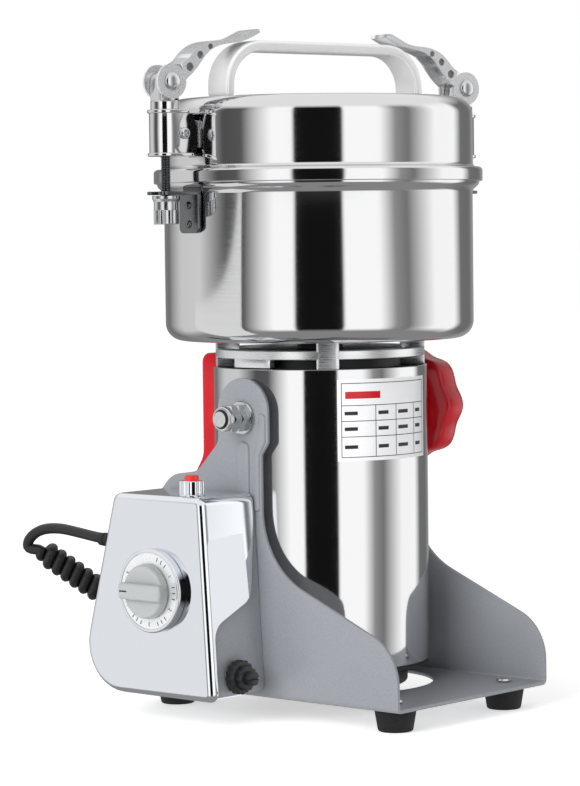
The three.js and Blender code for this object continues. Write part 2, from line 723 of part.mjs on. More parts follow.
// One latch, built with X pointing out from the bowl's axis.
const latch = {
  pivot: { x: rodAt - 6, z: bandTop + 17.2 },     // screw that the sleeve swings on
  sleeveLow: bandTop + 7.5,
  sleeveHigh: bandTop + 27.2,
  plate: 1.8,
  collarTop: bandTop + 33.5,
  pinZ: bandTop + 42.9,
  earRadius: 8.6,
  cheekInner: 5.2,
  cheekOuter: 6.75,
  pinRadius: 2,
  forkLow: bandBottom - 6.1,
  forkThickness: 1.7,
  forkReach: 7.3,
  catchHeight: 21,
  nutHeight: 14.4,
};

// Outline of the lever's cheek: x runs inwards from the pin, y upwards.
const leverTop = [[5.2, 8.6], [9.4, 10.8], [12.8, 14.3], [16.6, 17.4], [21.3, 19.7], [27, 21], [34.6, 21.6],
  [40.3, 22.6], [46, 25], [51, 27.2], [54.3, 27.4]];
const leverUnder = [[54.6, 25.6], [52.5, 24.6], [48, 22.6], [43, 20.9], [37.5, 20], [30.7, 18.9], [25, 16.8],
  [21.2, 13.9], [18.3, 10.6], [15.9, 7.7], [12.6, 4.4], [8.8, 1.3]];
const leverHoles = [[11, 7.4, 2.2], [17.4, 13.6, 1.9], [23.8, 17.8, 1.5]];

function buildLatchCatch(name, parent) {
  const face = bowlRadius + gap + 0.1;
  const top = latch.forkLow + latch.forkThickness;
  const reach = rodAt + latch.forkReach;
  const half = sleeveRadius;
  const rivets = [7, 16.5].map((drop) => rod('x', 2, face + 1, face + 3.4, { z: top - drop }, 12));
  const bracket = without(
    joined(box(face, face + 2.2, -half, half, top - latch.catchHeight, top),
      box(face, reach, -half, half, latch.forkLow, top), ...rivets),
    box(rodAt - rodRadius - 0.6, reach + 1, -rodRadius - 0.6, rodRadius + 0.6, latch.forkLow - 1, top + 1),
  );
  place(`latch_catch_${name}`, bracket, stampedSteel(), parent);
}

function buildLatchMount(name, parent) {
  const { pivot } = latch;
  const tongueHalf = sleeveRadius - sleeveSkin - gap;
  const tongue = rounded([
    [lidRadius - 2, pivot.z - 7], [lidRadius + 2.4, pivot.z - 7, 1], [pivot.x + 2.6, pivot.z - 2.8, 2],
    [pivot.x + 2.6, pivot.z + 2.8, 2], [lidRadius + 2.4, pivot.z + 6.5, 1], [lidRadius - 2, pivot.z + 6.5],
  ]);
  const mount = without(
    prismY(tongue, -tongueHalf, tongueHalf, 4),
    rod('z', lidRadius + gap, pivot.z - 10, pivot.z + 10, {}, close),
  );
  const screwHead = sleeveRadius + gap;
  place(`latch_mount_${name}`, joined(
    mount,
    rod('y', 2, -screwHead - 1, screwHead + 1, pivot, 12),
    rod('y', 3, screwHead, screwHead + 1.6, pivot, 12),
    rod('y', 3, -screwHead - 1.6, -screwHead, pivot, 12),
  ), zincSteel(), parent);
}

function buildLatchSleeve(name, parent) {
  const { pivot, sleeveLow, sleeveHigh, plate, collarTop, pinZ } = latch;
  const rodHole = rodRadius + running + 0.1;
  const inner = rodAt - 11.4;
  const outline = (radius, from) => joined(
    rod('z', radius, sleeveLow, sleeveHigh, { x: rodAt }, medium),
    box(from, rodAt, -radius, radius, sleeveLow, sleeveHigh),
  );
  const wrap = without(
    outline(sleeveRadius, inner),
    joined(rod('z', sleeveRadius - sleeveSkin, sleeveLow - 1, sleeveHigh + 1, { x: rodAt }, medium),
      box(inner - 1, rodAt, -sleeveRadius + sleeveSkin, sleeveRadius - sleeveSkin, sleeveLow - 1, sleeveHigh + 1)),
  );
  const plateShape = rounded([
    [rodAt - 9.7, -8.3, 3], [rodAt + 8.4, -8.3, 7], [rodAt + 8.4, 8.3, 7], [rodAt - 9.7, 8.3, 3]]);
  const head = rounded([
    [rodAt - 5.5, collarTop - 1], [rodAt + 5.5, collarTop - 1], [rodAt + 5.5, pinZ + 5, 5], [rodAt - 5.5, pinZ + 5, 5]]);
  const body = without(
    joined(
      wrap,
      prismZ(plateShape, sleeveLow - plate, sleeveLow + 0.2, 5),
      prismZ(plateShape, sleeveHigh - 0.2, sleeveHigh + plate, 5),
      rod('z', 7.2, sleeveHigh + plate - 0.2, collarTop, { x: rodAt }, medium),
      prismY(head, -4.8, 4.8, 6),
    ),
    rod('z', rodHole, sleeveLow - plate - 1, pinZ - 6, { x: rodAt }, 12),
    rod('y', latch.pinRadius + gap, -6, 6, { x: rodAt, z: pinZ }, 12),
    rod('y', 2 + running, -sleeveRadius - 1, sleeveRadius + 1, pivot, 12),
  );
  place(`latch_sleeve_${name}`, body, polishedSteel(), parent);
}

function buildLatchRod(name, parent) {
  const top = latch.pinZ - 6.6;
  const bottom = latch.forkLow - latch.nutHeight + 1.5;
  place(`latch_rod_${name}`, rod('z', rodRadius, bottom, top, { x: rodAt }, 12), stampedSteel(), parent);

  const nutTop = latch.forkLow - gap;
  const nutLow = nutTop - latch.nutHeight;
  const bodyRadius = nutRadius - 0.8;
  const nut = without(
    joined(rod('z', bodyRadius, nutLow, nutTop - 7, { x: rodAt }, 10),
      rod('z', bodyRadius, nutTop - 7.2, nutTop - 1, { x: rodAt }, medium),
      rod('z', bodyRadius, nutTop - 3.5, nutTop - 1.2, { x: rodAt }, medium, nutRadius),
      rod('z', nutRadius, nutTop - 1.2, nutTop, { x: rodAt }, medium)),
    rod('z', rodRadius + gap, nutLow - 1, nutTop + 1, { x: rodAt }, 12),
  );
  place(`latch_nut_${name}`, nut, zincSteel(), parent);
}

function buildLatchLever(name, parent) {
  const { pinZ, earRadius, cheekInner, cheekOuter } = latch;
  const toWorld = ([u, v]) => [rodAt - u, pinZ + v];
  const arm = rounded([...leverTop, ...leverUnder].map(toWorld));
  const ear = rod('y', earRadius, -cheekOuter, cheekOuter, { x: rodAt, z: pinZ }, medium);
  const filled = joined(prismY(arm, -cheekOuter, cheekOuter), ear);
  // The web runs along the top of the arm, so the hollow is the arm's outline lowered by the web's thickness.
  const hollowTop = leverTop.filter(([u]) => u > 9 && u < 41).map(([u, v]) => [u + 0.7, v - 1.7]);
  const hollow = rounded([
    ...hollowTop, [40, 12], [30, -12], [-14, -14], [-14, 13], [4, 13], [5.5, 7.2]].map(toWorld));
  const lever = without(
    filled,
    prismY(hollow, -cheekInner, cheekInner),
    rod('y', latch.pinRadius + gap, -9, 9, { x: rodAt, z: pinZ }, 12),
    ...leverHoles.map(([u, v, r]) => rod('y', r, -9, 9, { x: rodAt - u, z: pinZ + v }, 8)),
  );
  place(`latch_lever_${name}`, lever, stampedSteel(), parent);

  const headFace = cheekOuter + gap;
  place(`latch_pin_${name}`, joined(
    rod('y', latch.pinRadius, -headFace - 1, headFace + 1, { x: rodAt, z: pinZ }, 12),
    rod('y', 4.5, headFace, headFace + 1.7, { x: rodAt, z: pinZ }, 12, 3),
    rod('y', 3, -headFace - 1.7, -headFace, { x: rodAt, z: pinZ }, 12, 4.5),
  ), zincSteel(), parent);
}

function buildLatches() {
  for (const [name, turn] of [['right', 0], ['left', Math.PI]]) {
    const frame = new THREE.Group();
    frame.rotation.z = latchAxis + turn;
    model.add(frame);
    buildLatchCatch(name, frame);
    buildLatchMount(name, frame);
    buildLatchSleeve(name, frame);
    buildLatchRod(name, frame);
    buildLatchLever(name, frame);
  }
}

// ---------------------------------------------------------------- cord between the box and the motor

// Points chosen by hand. The lead loops back behind the box, the coil runs down and across,
// and the tail climbs to the gland under the rear grip.
const leadRoute = [
  [-78, 85, 88.6], [-78.5, 100, 90.4], [-79, 113, 91.8], [-79.4, 124, 91.2], [-79.7, 132, 88.6],
  [-80, 137.2, 84.2], [-79.4, 137.6, 80.2], [-77.6, 135, 79.6],
];
const coilRoute = [[-75.4, 132.2, 79], [-57, 110, 58.5], [-44, 98.5, 48], [-31, 90, 41]];
const tailRoute = [[-28.6, 88.7, 40], [-20, 83.5, 38], [-9, 74, 40], [-2.5, 65.5, 50], [0, 62, 66]];

function cordTube(points, radius, steps, sides) {
  const path = new THREE.CatmullRomCurve3(points, false, 'centripetal');
  const section = new THREE.Shape();
  section.absarc(0, 0, radius, 0, Math.PI * 2);
  const geometry = new THREE.ExtrudeGeometry(section, {
    steps, bevelEnabled: false, extrudePath: path, curveSegments: sides,
  });
  return solid(geometry);
}

function buildCord(boxExit, motorExit) {
  const route = (list) => list.map(([x, y, z]) => new THREE.Vector3(x, y, z));
  place('cord_lead', cordTube([boxExit, ...route(leadRoute)], cableRadius, 18, 2), blackRubber());
  place('cord_coil', cordTube(route(coilRoute), coilRadius, 4, 3), blackRubber());
  place('cord_tail', cordTube([...route(tailRoute), motorExit], cableRadius, 14, 2), blackRubber());
}

// ---------------------------------------------------------------- the whole object

buildBase();
const boxExit = buildControlBox();
buildMotorShell();
buildMotorWorks();
buildTrunnions();
const motorExit = buildRearGrip();
buildBowlAndLid();
buildHandle();
buildLatches();

// The footprint's centre is measured before the cord is added, so that the cord doesn't move the origin.
const footprint = new THREE.Box3().setFromObject(model, true).getCenter(new THREE.Vector3());
buildCord(boxExit, motorExit);
model.position.set(-footprint.x, -footprint.y, 0);

export default model;
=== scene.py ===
# %% [markdown]
# # A tilting grain mill
# A steel bowl with a latched lid stands on a motor in a polished barrel. The barrel hangs between two
# painted sheet arms and tips forward, so that the bowl can be emptied. This lesson dresses the packed
# model: it loads the solids as a fixed frame, and then makes each visible piece again with rounded
# edges, folds, knurls and threads, and gives each its real finish.

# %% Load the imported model
import json
import math

import bmesh
import bpy
from mathutils import Matrix, Vector


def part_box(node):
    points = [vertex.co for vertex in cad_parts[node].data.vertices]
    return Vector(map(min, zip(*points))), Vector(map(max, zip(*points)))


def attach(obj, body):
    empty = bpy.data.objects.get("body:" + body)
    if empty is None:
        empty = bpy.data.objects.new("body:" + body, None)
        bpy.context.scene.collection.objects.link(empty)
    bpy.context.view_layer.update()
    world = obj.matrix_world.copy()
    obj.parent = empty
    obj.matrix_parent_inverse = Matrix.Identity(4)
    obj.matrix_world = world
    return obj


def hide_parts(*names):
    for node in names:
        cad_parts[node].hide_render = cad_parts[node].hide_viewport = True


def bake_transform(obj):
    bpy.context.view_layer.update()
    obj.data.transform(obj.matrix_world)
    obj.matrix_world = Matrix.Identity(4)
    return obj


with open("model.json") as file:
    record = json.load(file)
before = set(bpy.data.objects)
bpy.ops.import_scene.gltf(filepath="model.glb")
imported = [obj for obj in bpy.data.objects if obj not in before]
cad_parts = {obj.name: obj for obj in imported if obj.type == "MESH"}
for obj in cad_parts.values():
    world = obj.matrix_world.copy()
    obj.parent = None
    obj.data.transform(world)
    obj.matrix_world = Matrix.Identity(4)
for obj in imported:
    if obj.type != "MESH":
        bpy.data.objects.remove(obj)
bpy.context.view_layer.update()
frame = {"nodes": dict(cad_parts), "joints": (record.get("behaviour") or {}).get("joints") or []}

# %% [markdown]
# Blender works in metres, and a maker of sheet metal works in millimetres. Every place below is given
# in millimetres from the motor's axis, with the height above the table, and one function turns it into
# a point of the frame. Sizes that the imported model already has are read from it, and not typed again.

# %% Places and sizes that come from the frame
def mm(length):
    return length / 1000


barrel_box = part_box("motor_barrel")
axis = (barrel_box[0] + barrel_box[1]) / 2
axis.z = 0


def spot(x, y, z):
    return axis + Vector((mm(x), mm(y), mm(z)))


def span(node):
    """The lowest and highest corners of a CAD node, in millimetres from the motor's axis."""
    return [(corner - axis) * 1000 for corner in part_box(node)]


def middle_of(node):
    """The middle of a CAD node, in millimetres from the motor's axis."""
    low, high = span(node)
    return (low + high) / 2


joint_at = {j["name"]: (Vector(j["pos_m"]) - axis) * 1000 for j in frame["joints"] if "pos_m" in j}
trunnion = joint_at["motor_tilt"].z
barrel_radius = span("motor_barrel")[1].x
barrel_bottom, barrel_top = (corner.z for corner in span("motor_barrel"))
bowl_floor = span("grinding_bowl")[0].z
band_bottom, lid_top = (corner.z for corner in span("lid"))
band_height = 7.3            # how tall the lid's rolled band is
band_top = band_bottom + band_height
plate_bottom = span("base_frame")[0].z
wall_outer = span("base_frame")[1].x
print("barrel radius", round(barrel_radius, 2), "mm, trunnion", round(trunnion, 2), "mm up")

# %% [markdown]
# ## The camera and the stage
# The camera comes first, because what it sees decides how much work each piece is worth. It stands
# a metre and a half away with a long lens, almost level with the middle of the mill, so the upright
# edges stay upright. A slight roll and a small shift place the mill in the frame.

# %% Camera
azimuth = math.radians(-49.1)
distance = 1.5704
pitch = math.radians(3.17)
roll = math.radians(-0.65)
looked_at = axis + Vector((0, 0, mm(162.7)))
forward = Vector((-math.sin(azimuth) * math.cos(pitch), math.cos(azimuth) * math.cos(pitch),
                  -math.sin(pitch)))
level_right = forward.cross(Vector((0, 0, 1))).normalized()
level_up = level_right.cross(forward)
right = level_right * math.cos(roll) + level_up * math.sin(roll)
up = level_up * math.cos(roll) - level_right * math.sin(roll)
camera_data = bpy.data.cameras.new("camera")
camera = bpy.data.objects.new("camera", camera_data)
bpy.context.scene.collection.objects.link(camera)
camera.matrix_world = Matrix.Translation(looked_at - forward * distance) @ Matrix((
    (right.x, up.x, -forward.x, 0),
    (right.y, up.y, -forward.y, 0),
    (right.z, up.z, -forward.z, 0),
    (0, 0, 0, 1)))
camera_data.sensor_width = 36
camera_data.lens = 138.1
camera_data.shift_x = -0.0389
camera_data.clip_end = 50
bpy.context.scene.camera = camera
print("camera at", tuple(round(v, 3) for v in camera.location))

# %% [markdown]
# Polished steel has no look of its own: it shows the room. A studio for such a thing is a ring of
# white cards with gaps between them, and a black card behind the camera. Building the cards as
# objects would work, but a sky whose brightness changes with the compass direction gives the same
# reflections with no cards to hide. The camera itself sees plain white instead of the cards.

# %% Small helpers for colours and nodes
def linear(hex_colour):
    """An sRGB hex colour as the linear numbers that shaders take."""
    def channel(value):
        return value / 12.92 if value <= 0.04045 else ((value + 0.055) / 1.055) ** 2.4
    return (*(channel(int(hex_colour[i:i + 2], 16) / 255) for i in (1, 3, 5)), 1)


def add_node(tree, kind, inputs=None, **settings):
    """Adds a node, sets its settings, and sets or links its inputs."""
    made = tree.nodes.new(kind)
    for name, value in settings.items():
        setattr(made, name, value)
    for name, value in (inputs or {}).items():
        if isinstance(value, bpy.types.NodeSocket):
            tree.links.new(value, made.inputs[name])
        else:
            made.inputs[name].default_value = value
    return made


# %% Studio light
# Degrees round from the camera's side, to the right, and how bright the room is there.
studio_cards = [(-180, 0.25), (-150, 0.2), (-125, 0.75), (-100, 0.8), (-82, 0.3), (-74, 0.1), (-58, 0.12),
                (-44, 0.85), (-34, 1.3), (-19, 1.3), (-17, 0.008), (17, 0.008), (19, 1.3), (46, 1.3),
                (59, 0.35), (70, 0.22), (82, 0.7), (96, 1.25), (120, 1.25), (131, 0.2), (150, 0.18),
                (165, 0.35)]
ceiling_light = 1.0
table_light = 0.3            # what a polished face turned down sees of the table
fill_light = 0.3             # how much of the room's brightness reaches painted surfaces
to_camera = math.atan2(-forward.y, -forward.x)
world = bpy.data.worlds.new("studio")
world.use_nodes = True
bpy.context.scene.world = world
tree = world.node_tree
tree.nodes.clear()
direction = add_node(tree, "ShaderNodeTexCoord").outputs["Generated"]
parts = add_node(tree, "ShaderNodeSeparateXYZ", {"Vector": direction}).outputs
compass = add_node(tree, "ShaderNodeMath", {0: parts["Y"], 1: parts["X"]}, operation="ARCTAN2").outputs[0]
share = add_node(tree, "ShaderNodeMath", {0: compass, 1: 1 / math.tau, 2: 0.5 - to_camera / math.tau},
                 operation="MULTIPLY_ADD").outputs[0]
around = add_node(tree, "ShaderNodeMath", {0: share}, operation="FRACT").outputs[0]
ramp = add_node(tree, "ShaderNodeValToRGB", {"Fac": around})
while len(ramp.color_ramp.elements) < len(studio_cards):
    ramp.color_ramp.elements.new(0.5)
for element, (degrees, light) in zip(ramp.color_ramp.elements, studio_cards):
    element.position = degrees / 360 + 0.5
    element.color = (light, light, light, 1)
slope = add_node(tree, "ShaderNodeMath", {0: parts["Z"]}, operation="ABSOLUTE").outputs[0]
overhead = add_node(tree, "ShaderNodeMapRange", {"Value": slope, "From Min": 0.35, "From Max": 0.6})
under = add_node(tree, "ShaderNodeMapRange", {"Value": parts["Z"], "From Min": -0.3, "From Max": 0.3,
                                              "To Min": table_light, "To Max": ceiling_light})
room = add_node(tree, "ShaderNodeMix", {0: overhead.outputs[0]}, data_type="RGBA")
tree.links.new(ramp.outputs["Color"], room.inputs[6])
tree.links.new(under.outputs[0], room.inputs[7])
path = add_node(tree, "ShaderNodeLightPath").outputs
strength = add_node(tree, "ShaderNodeMapRange",
                    {"Value": path["Is Diffuse Ray"], "To Min": 1.0, "To Max": fill_light})
card_light = add_node(tree, "ShaderNodeBackground",
                      {"Color": room.outputs[2], "Strength": strength.outputs[0]}).outputs[0]
white = add_node(tree, "ShaderNodeBackground", {"Color": (1, 1, 1, 1), "Strength": 1.0}).outputs[0]
both = add_node(tree, "ShaderNodeMixShader", {0: path["Is Camera Ray"], 1: card_light, 2: white}).outputs[0]
add_node(tree, "ShaderNodeOutputWorld", {"Surface": both})


def soft_light(name, place, aimed_at, size, watts):
    """A large square lamp, so that its shadows are soft."""
    lamp_data = bpy.data.lights.new(name, "AREA")
    lamp_data.size = size
    lamp_data.energy = watts
    lamp = bpy.data.objects.new(name, lamp_data)
    bpy.context.scene.collection.objects.link(lamp)
    lamp.location = place
    lamp.rotation_euler = (Vector(aimed_at) - Vector(place)).to_track_quat("-Z", "Y").to_euler()
    lamp.visible_glossy = False


soft_light("lamp_left", (-1.8, -0.2, 0.8), (0, 0, 0.12), 1.3, 30)
skylight_data = bpy.data.lights.new("skylight", "SUN")
skylight_data.energy = 0.7
skylight_data.angle = math.radians(90)
skylight = bpy.data.objects.new("skylight", skylight_data)
bpy.context.scene.collection.objects.link(skylight)
skylight.rotation_euler = (math.radians(-12), math.radians(-10), 0)
skylight.visible_glossy = False
bpy.context.scene.view_settings.view_transform = "Standard"

# %% Floor
bpy.ops.object.select_all(action="DESELECT")
bpy.ops.mesh.primitive_plane_add(size=12, location=(0, 0, 0))
floor = bpy.context.object
floor.name = "floor"
floor_paper = bpy.data.materials.new("white_paper_sweep")
floor_paper.use_nodes = True
paper = floor_paper.node_tree.nodes["Principled BSDF"]
paper.inputs["Base Color"].default_value = linear("#f4f4f3")
paper.inputs["Roughness"].default_value = 0.9
paper.inputs["Emission Color"].default_value = linear("#ffffff")
paper.inputs["Emission Strength"].default_value = 0.55     # lit from below, so that shadows stay faint
floor.data.materials.append(floor_paper)
floor.visible_glossy = False     # the polished walls show the cards of the studio down to their feet

# %% [markdown]
# ## Finishes
# Each finish starts from what the real one is and how its surface was made. A plain colour reads as
# plastic, so every finish also has a fine relief and an uneven roughness, at the size that the real
# process leaves. The patterns read Object coordinates, which are metres on every piece here.

# %% Material helpers
def texture_place(tree, stretch):
    coordinates = add_node(tree, "ShaderNodeTexCoord").outputs["Object"]
    return add_node(tree, "ShaderNodeMapping", {"Vector": coordinates, "Scale": stretch}).outputs[0]


def finish(name, colour, roughness, metallic=0.0, *, grain, depth, dull, stretch=(1, 1, 1), shades=None,
           detail=3.0, **sockets):
    """A Principled material whose sockets start as plain values; spaces in their names are underscores.
    It gets a relief `depth` mm deep with spots `grain` mm across, and the same spots set its roughness,
    within `dull`, and with two hex shades its colour."""
    material = bpy.data.materials.new(name)
    material.use_nodes = True
    tree = material.node_tree
    shader = tree.nodes["Principled BSDF"]
    shader.inputs["Base Color"].default_value = linear(colour)
    shader.inputs["Roughness"].default_value = roughness
    shader.inputs["Metallic"].default_value = metallic
    for name_of_socket, value in sockets.items():
        shader.inputs[name_of_socket.replace("_", " ")].default_value = value
    noise = add_node(tree, "ShaderNodeTexNoise", {
        "Vector": texture_place(tree, stretch), "Scale": 1 / mm(grain), "Detail": detail})
    relief = add_node(tree, "ShaderNodeBump", {
        "Height": noise.outputs["Fac"], "Distance": mm(depth), "Strength": 1.0})
    tree.links.new(relief.outputs[0], shader.inputs["Normal"])
    spots = add_node(tree, "ShaderNodeMapRange", {
        "Value": noise.outputs["Fac"], "From Min": 0.3, "From Max": 0.7,
        "To Min": dull[0], "To Max": dull[1]})
    tree.links.new(spots.outputs[0], shader.inputs["Roughness"])
    if shades:
        mix = add_node(tree, "ShaderNodeMix", {0: noise.outputs["Fac"]}, data_type="RGBA")
        mix.inputs[6].default_value = linear(shades[0])
        mix.inputs[7].default_value = linear(shades[1])
        tree.links.new(mix.outputs[2], shader.inputs["Base Color"])
    return material


# %% [markdown]
# The bowl, lid and barrel are stainless steel, drawn and then polished to a mirror on a lathe. The
# buff runs round the part, so what little relief is left is long in that direction and about a third
# of a millimetre high, which smears reflections a little up and down.

# %% Polished and plated metals
polished_steel = finish(
    "mirror_polished_stainless_steel", "#dcdcdd", 0.07, 1.0,
    grain=1.0, depth=0.0006, dull=(0.05, 0.1), stretch=(0.02, 0.02, 3.0))

# Chrome over nickel on pressed steel: bluish, and as smooth as the sheet below it.
chrome_plate = finish(
    "bright_chrome_plate", "#e6e9ee", 0.05, 1.0,
    grain=14.0, depth=0.004, dull=(0.03, 0.08), detail=1.0)

# Bead-blasted aluminium: frosted. Its craters are really a tenth of a millimetre across, and are
# drawn half a millimetre wide so that they show.
blasted_aluminium = finish(
    "bead_blasted_aluminium", "#f6f6f6", 0.38, 0.6,
    grain=0.5, depth=0.012, dull=(0.32, 0.42))

# Die-cast aluminium, turned on its rim: fine rings run round it.
turned_aluminium = finish(
    "turned_cast_aluminium", "#e4e5e7", 0.26, 0.9,
    grain=0.8, depth=0.01, dull=(0.22, 0.36), stretch=(0.05, 0.05, 2.0))

# Bright zinc: a bluish plate with a faint cloud in it.
zinc_plate = finish(
    "bright_zinc_plate", "#d3d5d8", 0.2, 1.0,
    grain=1.6, depth=0.004, dull=(0.14, 0.28), shades=("#c6c9cd", "#dcdcda"))

# Stamped stainless, tumbled in stones: a soft grey sheen with tiny nicks.
tumbled_steel = finish(
    "tumbled_stamped_stainless_steel", "#ececed", 0.3, 0.8,
    grain=0.7, depth=0.0015, dull=(0.26, 0.34), shades=("#dcdddf", "#f0f0f1"))

# Steel of a rolled thread, darkened by its film of oil.
thread_steel = finish(
    "oiled_rolled_thread_steel", "#8b8c8e", 0.3, 1.0,
    grain=0.5, depth=0.006, dull=(0.25, 0.45))

# Stamped catches keep the dark skin of the rolled sheet, with a thin film of oil.
oiled_sheet = finish(
    "oiled_stamped_steel", "#737477", 0.24, 1.0,
    grain=0.9, depth=0.004, dull=(0.2, 0.32))

# Ground tool steel, with grinding lines along X.
ground_steel = finish(
    "ground_tool_steel", "#a9abad", 0.3, 1.0,
    grain=0.9, depth=0.006, dull=(0.22, 0.38), stretch=(0.08, 2.0, 2.0))

# %% [markdown]
# The base is sheet steel with a grey hammer-finish stoving paint. The paint pulls into low cells
# about a millimetre across as it bakes, and a little aluminium flake in it gives a faint metallic sheen.

# %% Paint, plastics and rubber
hammer_paint = finish(
    "grey_hammer_finish_stoving_paint", "#8c8f95", 0.45, 0.12, Coat_Weight=0.15, Coat_Roughness=0.3,
    grain=0.9, depth=0.03, dull=(0.36, 0.5), shades=("#82858b", "#979a9f"), detail=2.0)

# Phenolic resin, moulded red in a polished tool: deep gloss over a slightly wavy face.
red_phenolic = finish(
    "red_moulded_phenolic", "#8c000e", 0.2, IOR=1.42, Coat_Weight=0.12, Coat_Roughness=0.06,
    grain=9.0, depth=0.12, dull=(0.14, 0.24), shades=("#b50c1b", "#cc1222"), detail=2.0)

# Glass-filled black nylon: a fine spark-eroded grain.
black_nylon = finish(
    "black_glass_filled_nylon", "#0e0e10", 0.45,
    grain=0.35, depth=0.02, dull=(0.38, 0.55), shades=("#131416", "#1d1e20"))

# Grey ABS of the knob, with a satin moulded face.
grey_abs = finish(
    "satin_grey_abs", "#9da0a3", 0.36, Coat_Weight=0.2, Coat_Roughness=0.25,
    grain=0.5, depth=0.008, dull=(0.3, 0.42), shades=("#9a9f9f", "#a5aaa9"))

# Natural rubber with carbon black: almost no shine, and a bloom of paler dust.
black_rubber = finish(
    "moulded_black_rubber", "#101011", 0.7,
    grain=0.8, depth=0.02, dull=(0.55, 0.8), shades=("#111113", "#1e1e20"))

# Polyurethane cord jacket: smoother and shinier than rubber.
cord_jacket = finish(
    "black_polyurethane_jacket", "#0b0b0c", 0.38,
    grain=0.6, depth=0.01, dull=(0.3, 0.46), shades=("#0e0e10", "#19191b"))

# Clear red styrene over a neon lamp, which glows a little.
red_lens = finish(
    "clear_red_polystyrene", "#c01a10", 0.12, Transmission_Weight=0.35, IOR=1.59,
    Emission_Color=linear("#ff2a12"), Emission_Strength=0.25,
    grain=3.0, depth=0.01, dull=(0.08, 0.16))

# White silicone gasket cord.
white_silicone = finish(
    "white_silicone_rubber", "#e8e6df", 0.5,
    grain=0.7, depth=0.01, dull=(0.45, 0.6), shades=("#e2e0d8", "#efeee9"))

# Varnished lamination stack: sheets of half a millimetre lie across the axis.
laminated_iron = finish(
    "varnished_steel_laminations", "#565a5e", 0.5, 0.8,
    grain=0.5, depth=0.05, dull=(0.4, 0.6), stretch=(0.02, 0.02, 1.0), shades=("#44474a", "#676b70"))

# Enamelled copper wire, wound in turns of about 0.6 mm.
copper_wire = finish(
    "enamelled_copper_wire", "#b06a3a", 0.3, 1.0,
    grain=0.6, depth=0.08, dull=(0.25, 0.4), stretch=(0.3, 0.3, 1.0), shades=("#94502a", "#c47c48"))

# Silver anodised aluminium of the dial, the black ink of all printed marks, and the glossy film of
# the rating plate.
dial_silver = finish(
    "satin_silver_anodised_dial", "#e4e6e8", 0.3, 0.6,
    grain=0.5, depth=0.004, dull=(0.26, 0.36), shades=("#dfe1e4", "#eaebec"))
printing_ink = finish(
    "black_printing_ink", "#1b1b1d", 0.5,
    grain=0.3, depth=0.004, dull=(0.45, 0.6), shades=("#161618", "#232325"))
label_film = finish(
    "white_polyester_label_film", "#eeeef0", 0.3, Coat_Weight=0.3, Coat_Roughness=0.12,
    grain=0.6, depth=0.003, dull=(0.26, 0.36), shades=("#e9e9ec", "#f3f3f4"))

# %% The finishes of the CAD nodes that stay
kept_nodes = {
    ground_steel: ["motor_shaft", "lower_blade", "upper_blade", "lower_bearing", "upper_bearing"],
    laminated_iron: ["stator_core", "armature"],
    copper_wire: ["field_coil_right", "field_coil_left", "commutator"],
    black_nylon: ["brush_holder_front", "brush_holder_back", "cooling_fan", "timer_mechanism"],
    black_rubber: ["shaft_seal"],
    white_silicone: ["lid_gasket"],
    turned_aluminium: ["lower_end_frame"],
    zinc_plate: ["trunnion_stud_left", "trunnion_stud_right", "blade_nut"],
}
for material, names in kept_nodes.items():
    for name in names:
        for material_slot in frame["nodes"][name].material_slots:
            material_slot.material = material
print(sum(len(names) for names in kept_nodes.values()), "CAD nodes keep their shape")

# %% [markdown]
# The timer box has flat chrome faces, and a flat mirror shows one small patch of the room. So it needs
# cards of its own, stood exactly where its faces look. Only reflections see them.

# %% Cards seen in the chrome
def reflected_card(name, corners, brightness):
    """A bright card that only reflections can see, and only from the side its corners run round."""
    mesh = bpy.data.meshes.new(name)
    mesh.from_pydata([spot(*corner) for corner in corners], [], [(0, 1, 2, 3)])
    card = bpy.data.objects.new(name, mesh)
    bpy.context.scene.collection.objects.link(card)
    paper = bpy.data.materials.new(name)
    paper.use_nodes = True
    paper.node_tree.nodes.clear()
    tree = paper.node_tree
    light = (brightness, brightness, brightness, 1)
    glow = add_node(tree, "ShaderNodeEmission", {"Color": light}).outputs[0]
    clear = add_node(tree, "ShaderNodeBsdfTransparent").outputs[0]
    reverse = add_node(tree, "ShaderNodeNewGeometry").outputs["Backfacing"]
    one_sided = add_node(tree, "ShaderNodeMixShader", {0: reverse, 1: glow, 2: clear}).outputs[0]
    add_node(tree, "ShaderNodeOutputMaterial", {"Surface": one_sided})
    mesh.materials.append(paper)
    card.visible_camera = card.visible_diffuse = card.visible_shadow = card.visible_transmission = False


reflected_card("card_beside_box", [
    (-170, 210, -80), (-170, 210, 190), (-300, 60, 190), (-300, 60, -80)], 0.9)
reflected_card("card_before_box", [
    (-62.2, -140, 12), (-62.2, -140, 96), (-62.2, -19, 96), (-62.2, -19, 12)], 1.0)

# %% [markdown]
# ## The curly cord
# A curled cable joins the timer box to the motor, and stretches when the motor tips. It is one cable:
# it loops back out of the box, winds into a tight helix, and climbs to the gland under the rear grip.
# A listed line of points gives the route, and the helix is worked out round the middle part of that line.

# %% Cord route
cable_radius = 2.8
coil_radius = 7.0
coil_pitch = 5.7
points_per_turn = 16
growing = 0.8               # turns over which the helix opens to its full radius
first_share = 0.55          # the part of that radius that it starts with
lead_route = [(-78, 66.3, 88), (-78, 85, 88.6), (-78.5, 100, 90.4), (-79, 113, 91.8), (-79.4, 124, 91.2),
              (-79.7, 132, 88.6), (-80, 137.2, 84.2), (-79.4, 137.6, 80.2)]
coil_route = [(-75.4, 132.2, 79), (-57, 110, 58.5), (-44, 98.5, 48), (-31, 90, 41)]
tail_route = [(-28.6, 88.7, 40), (-20, 83.5, 38), (-9, 74, 40), (-2.5, 65.5, 50), (0, 62, 66),
              (0, 61.7, 84), (0, 61.7, 93.9)]


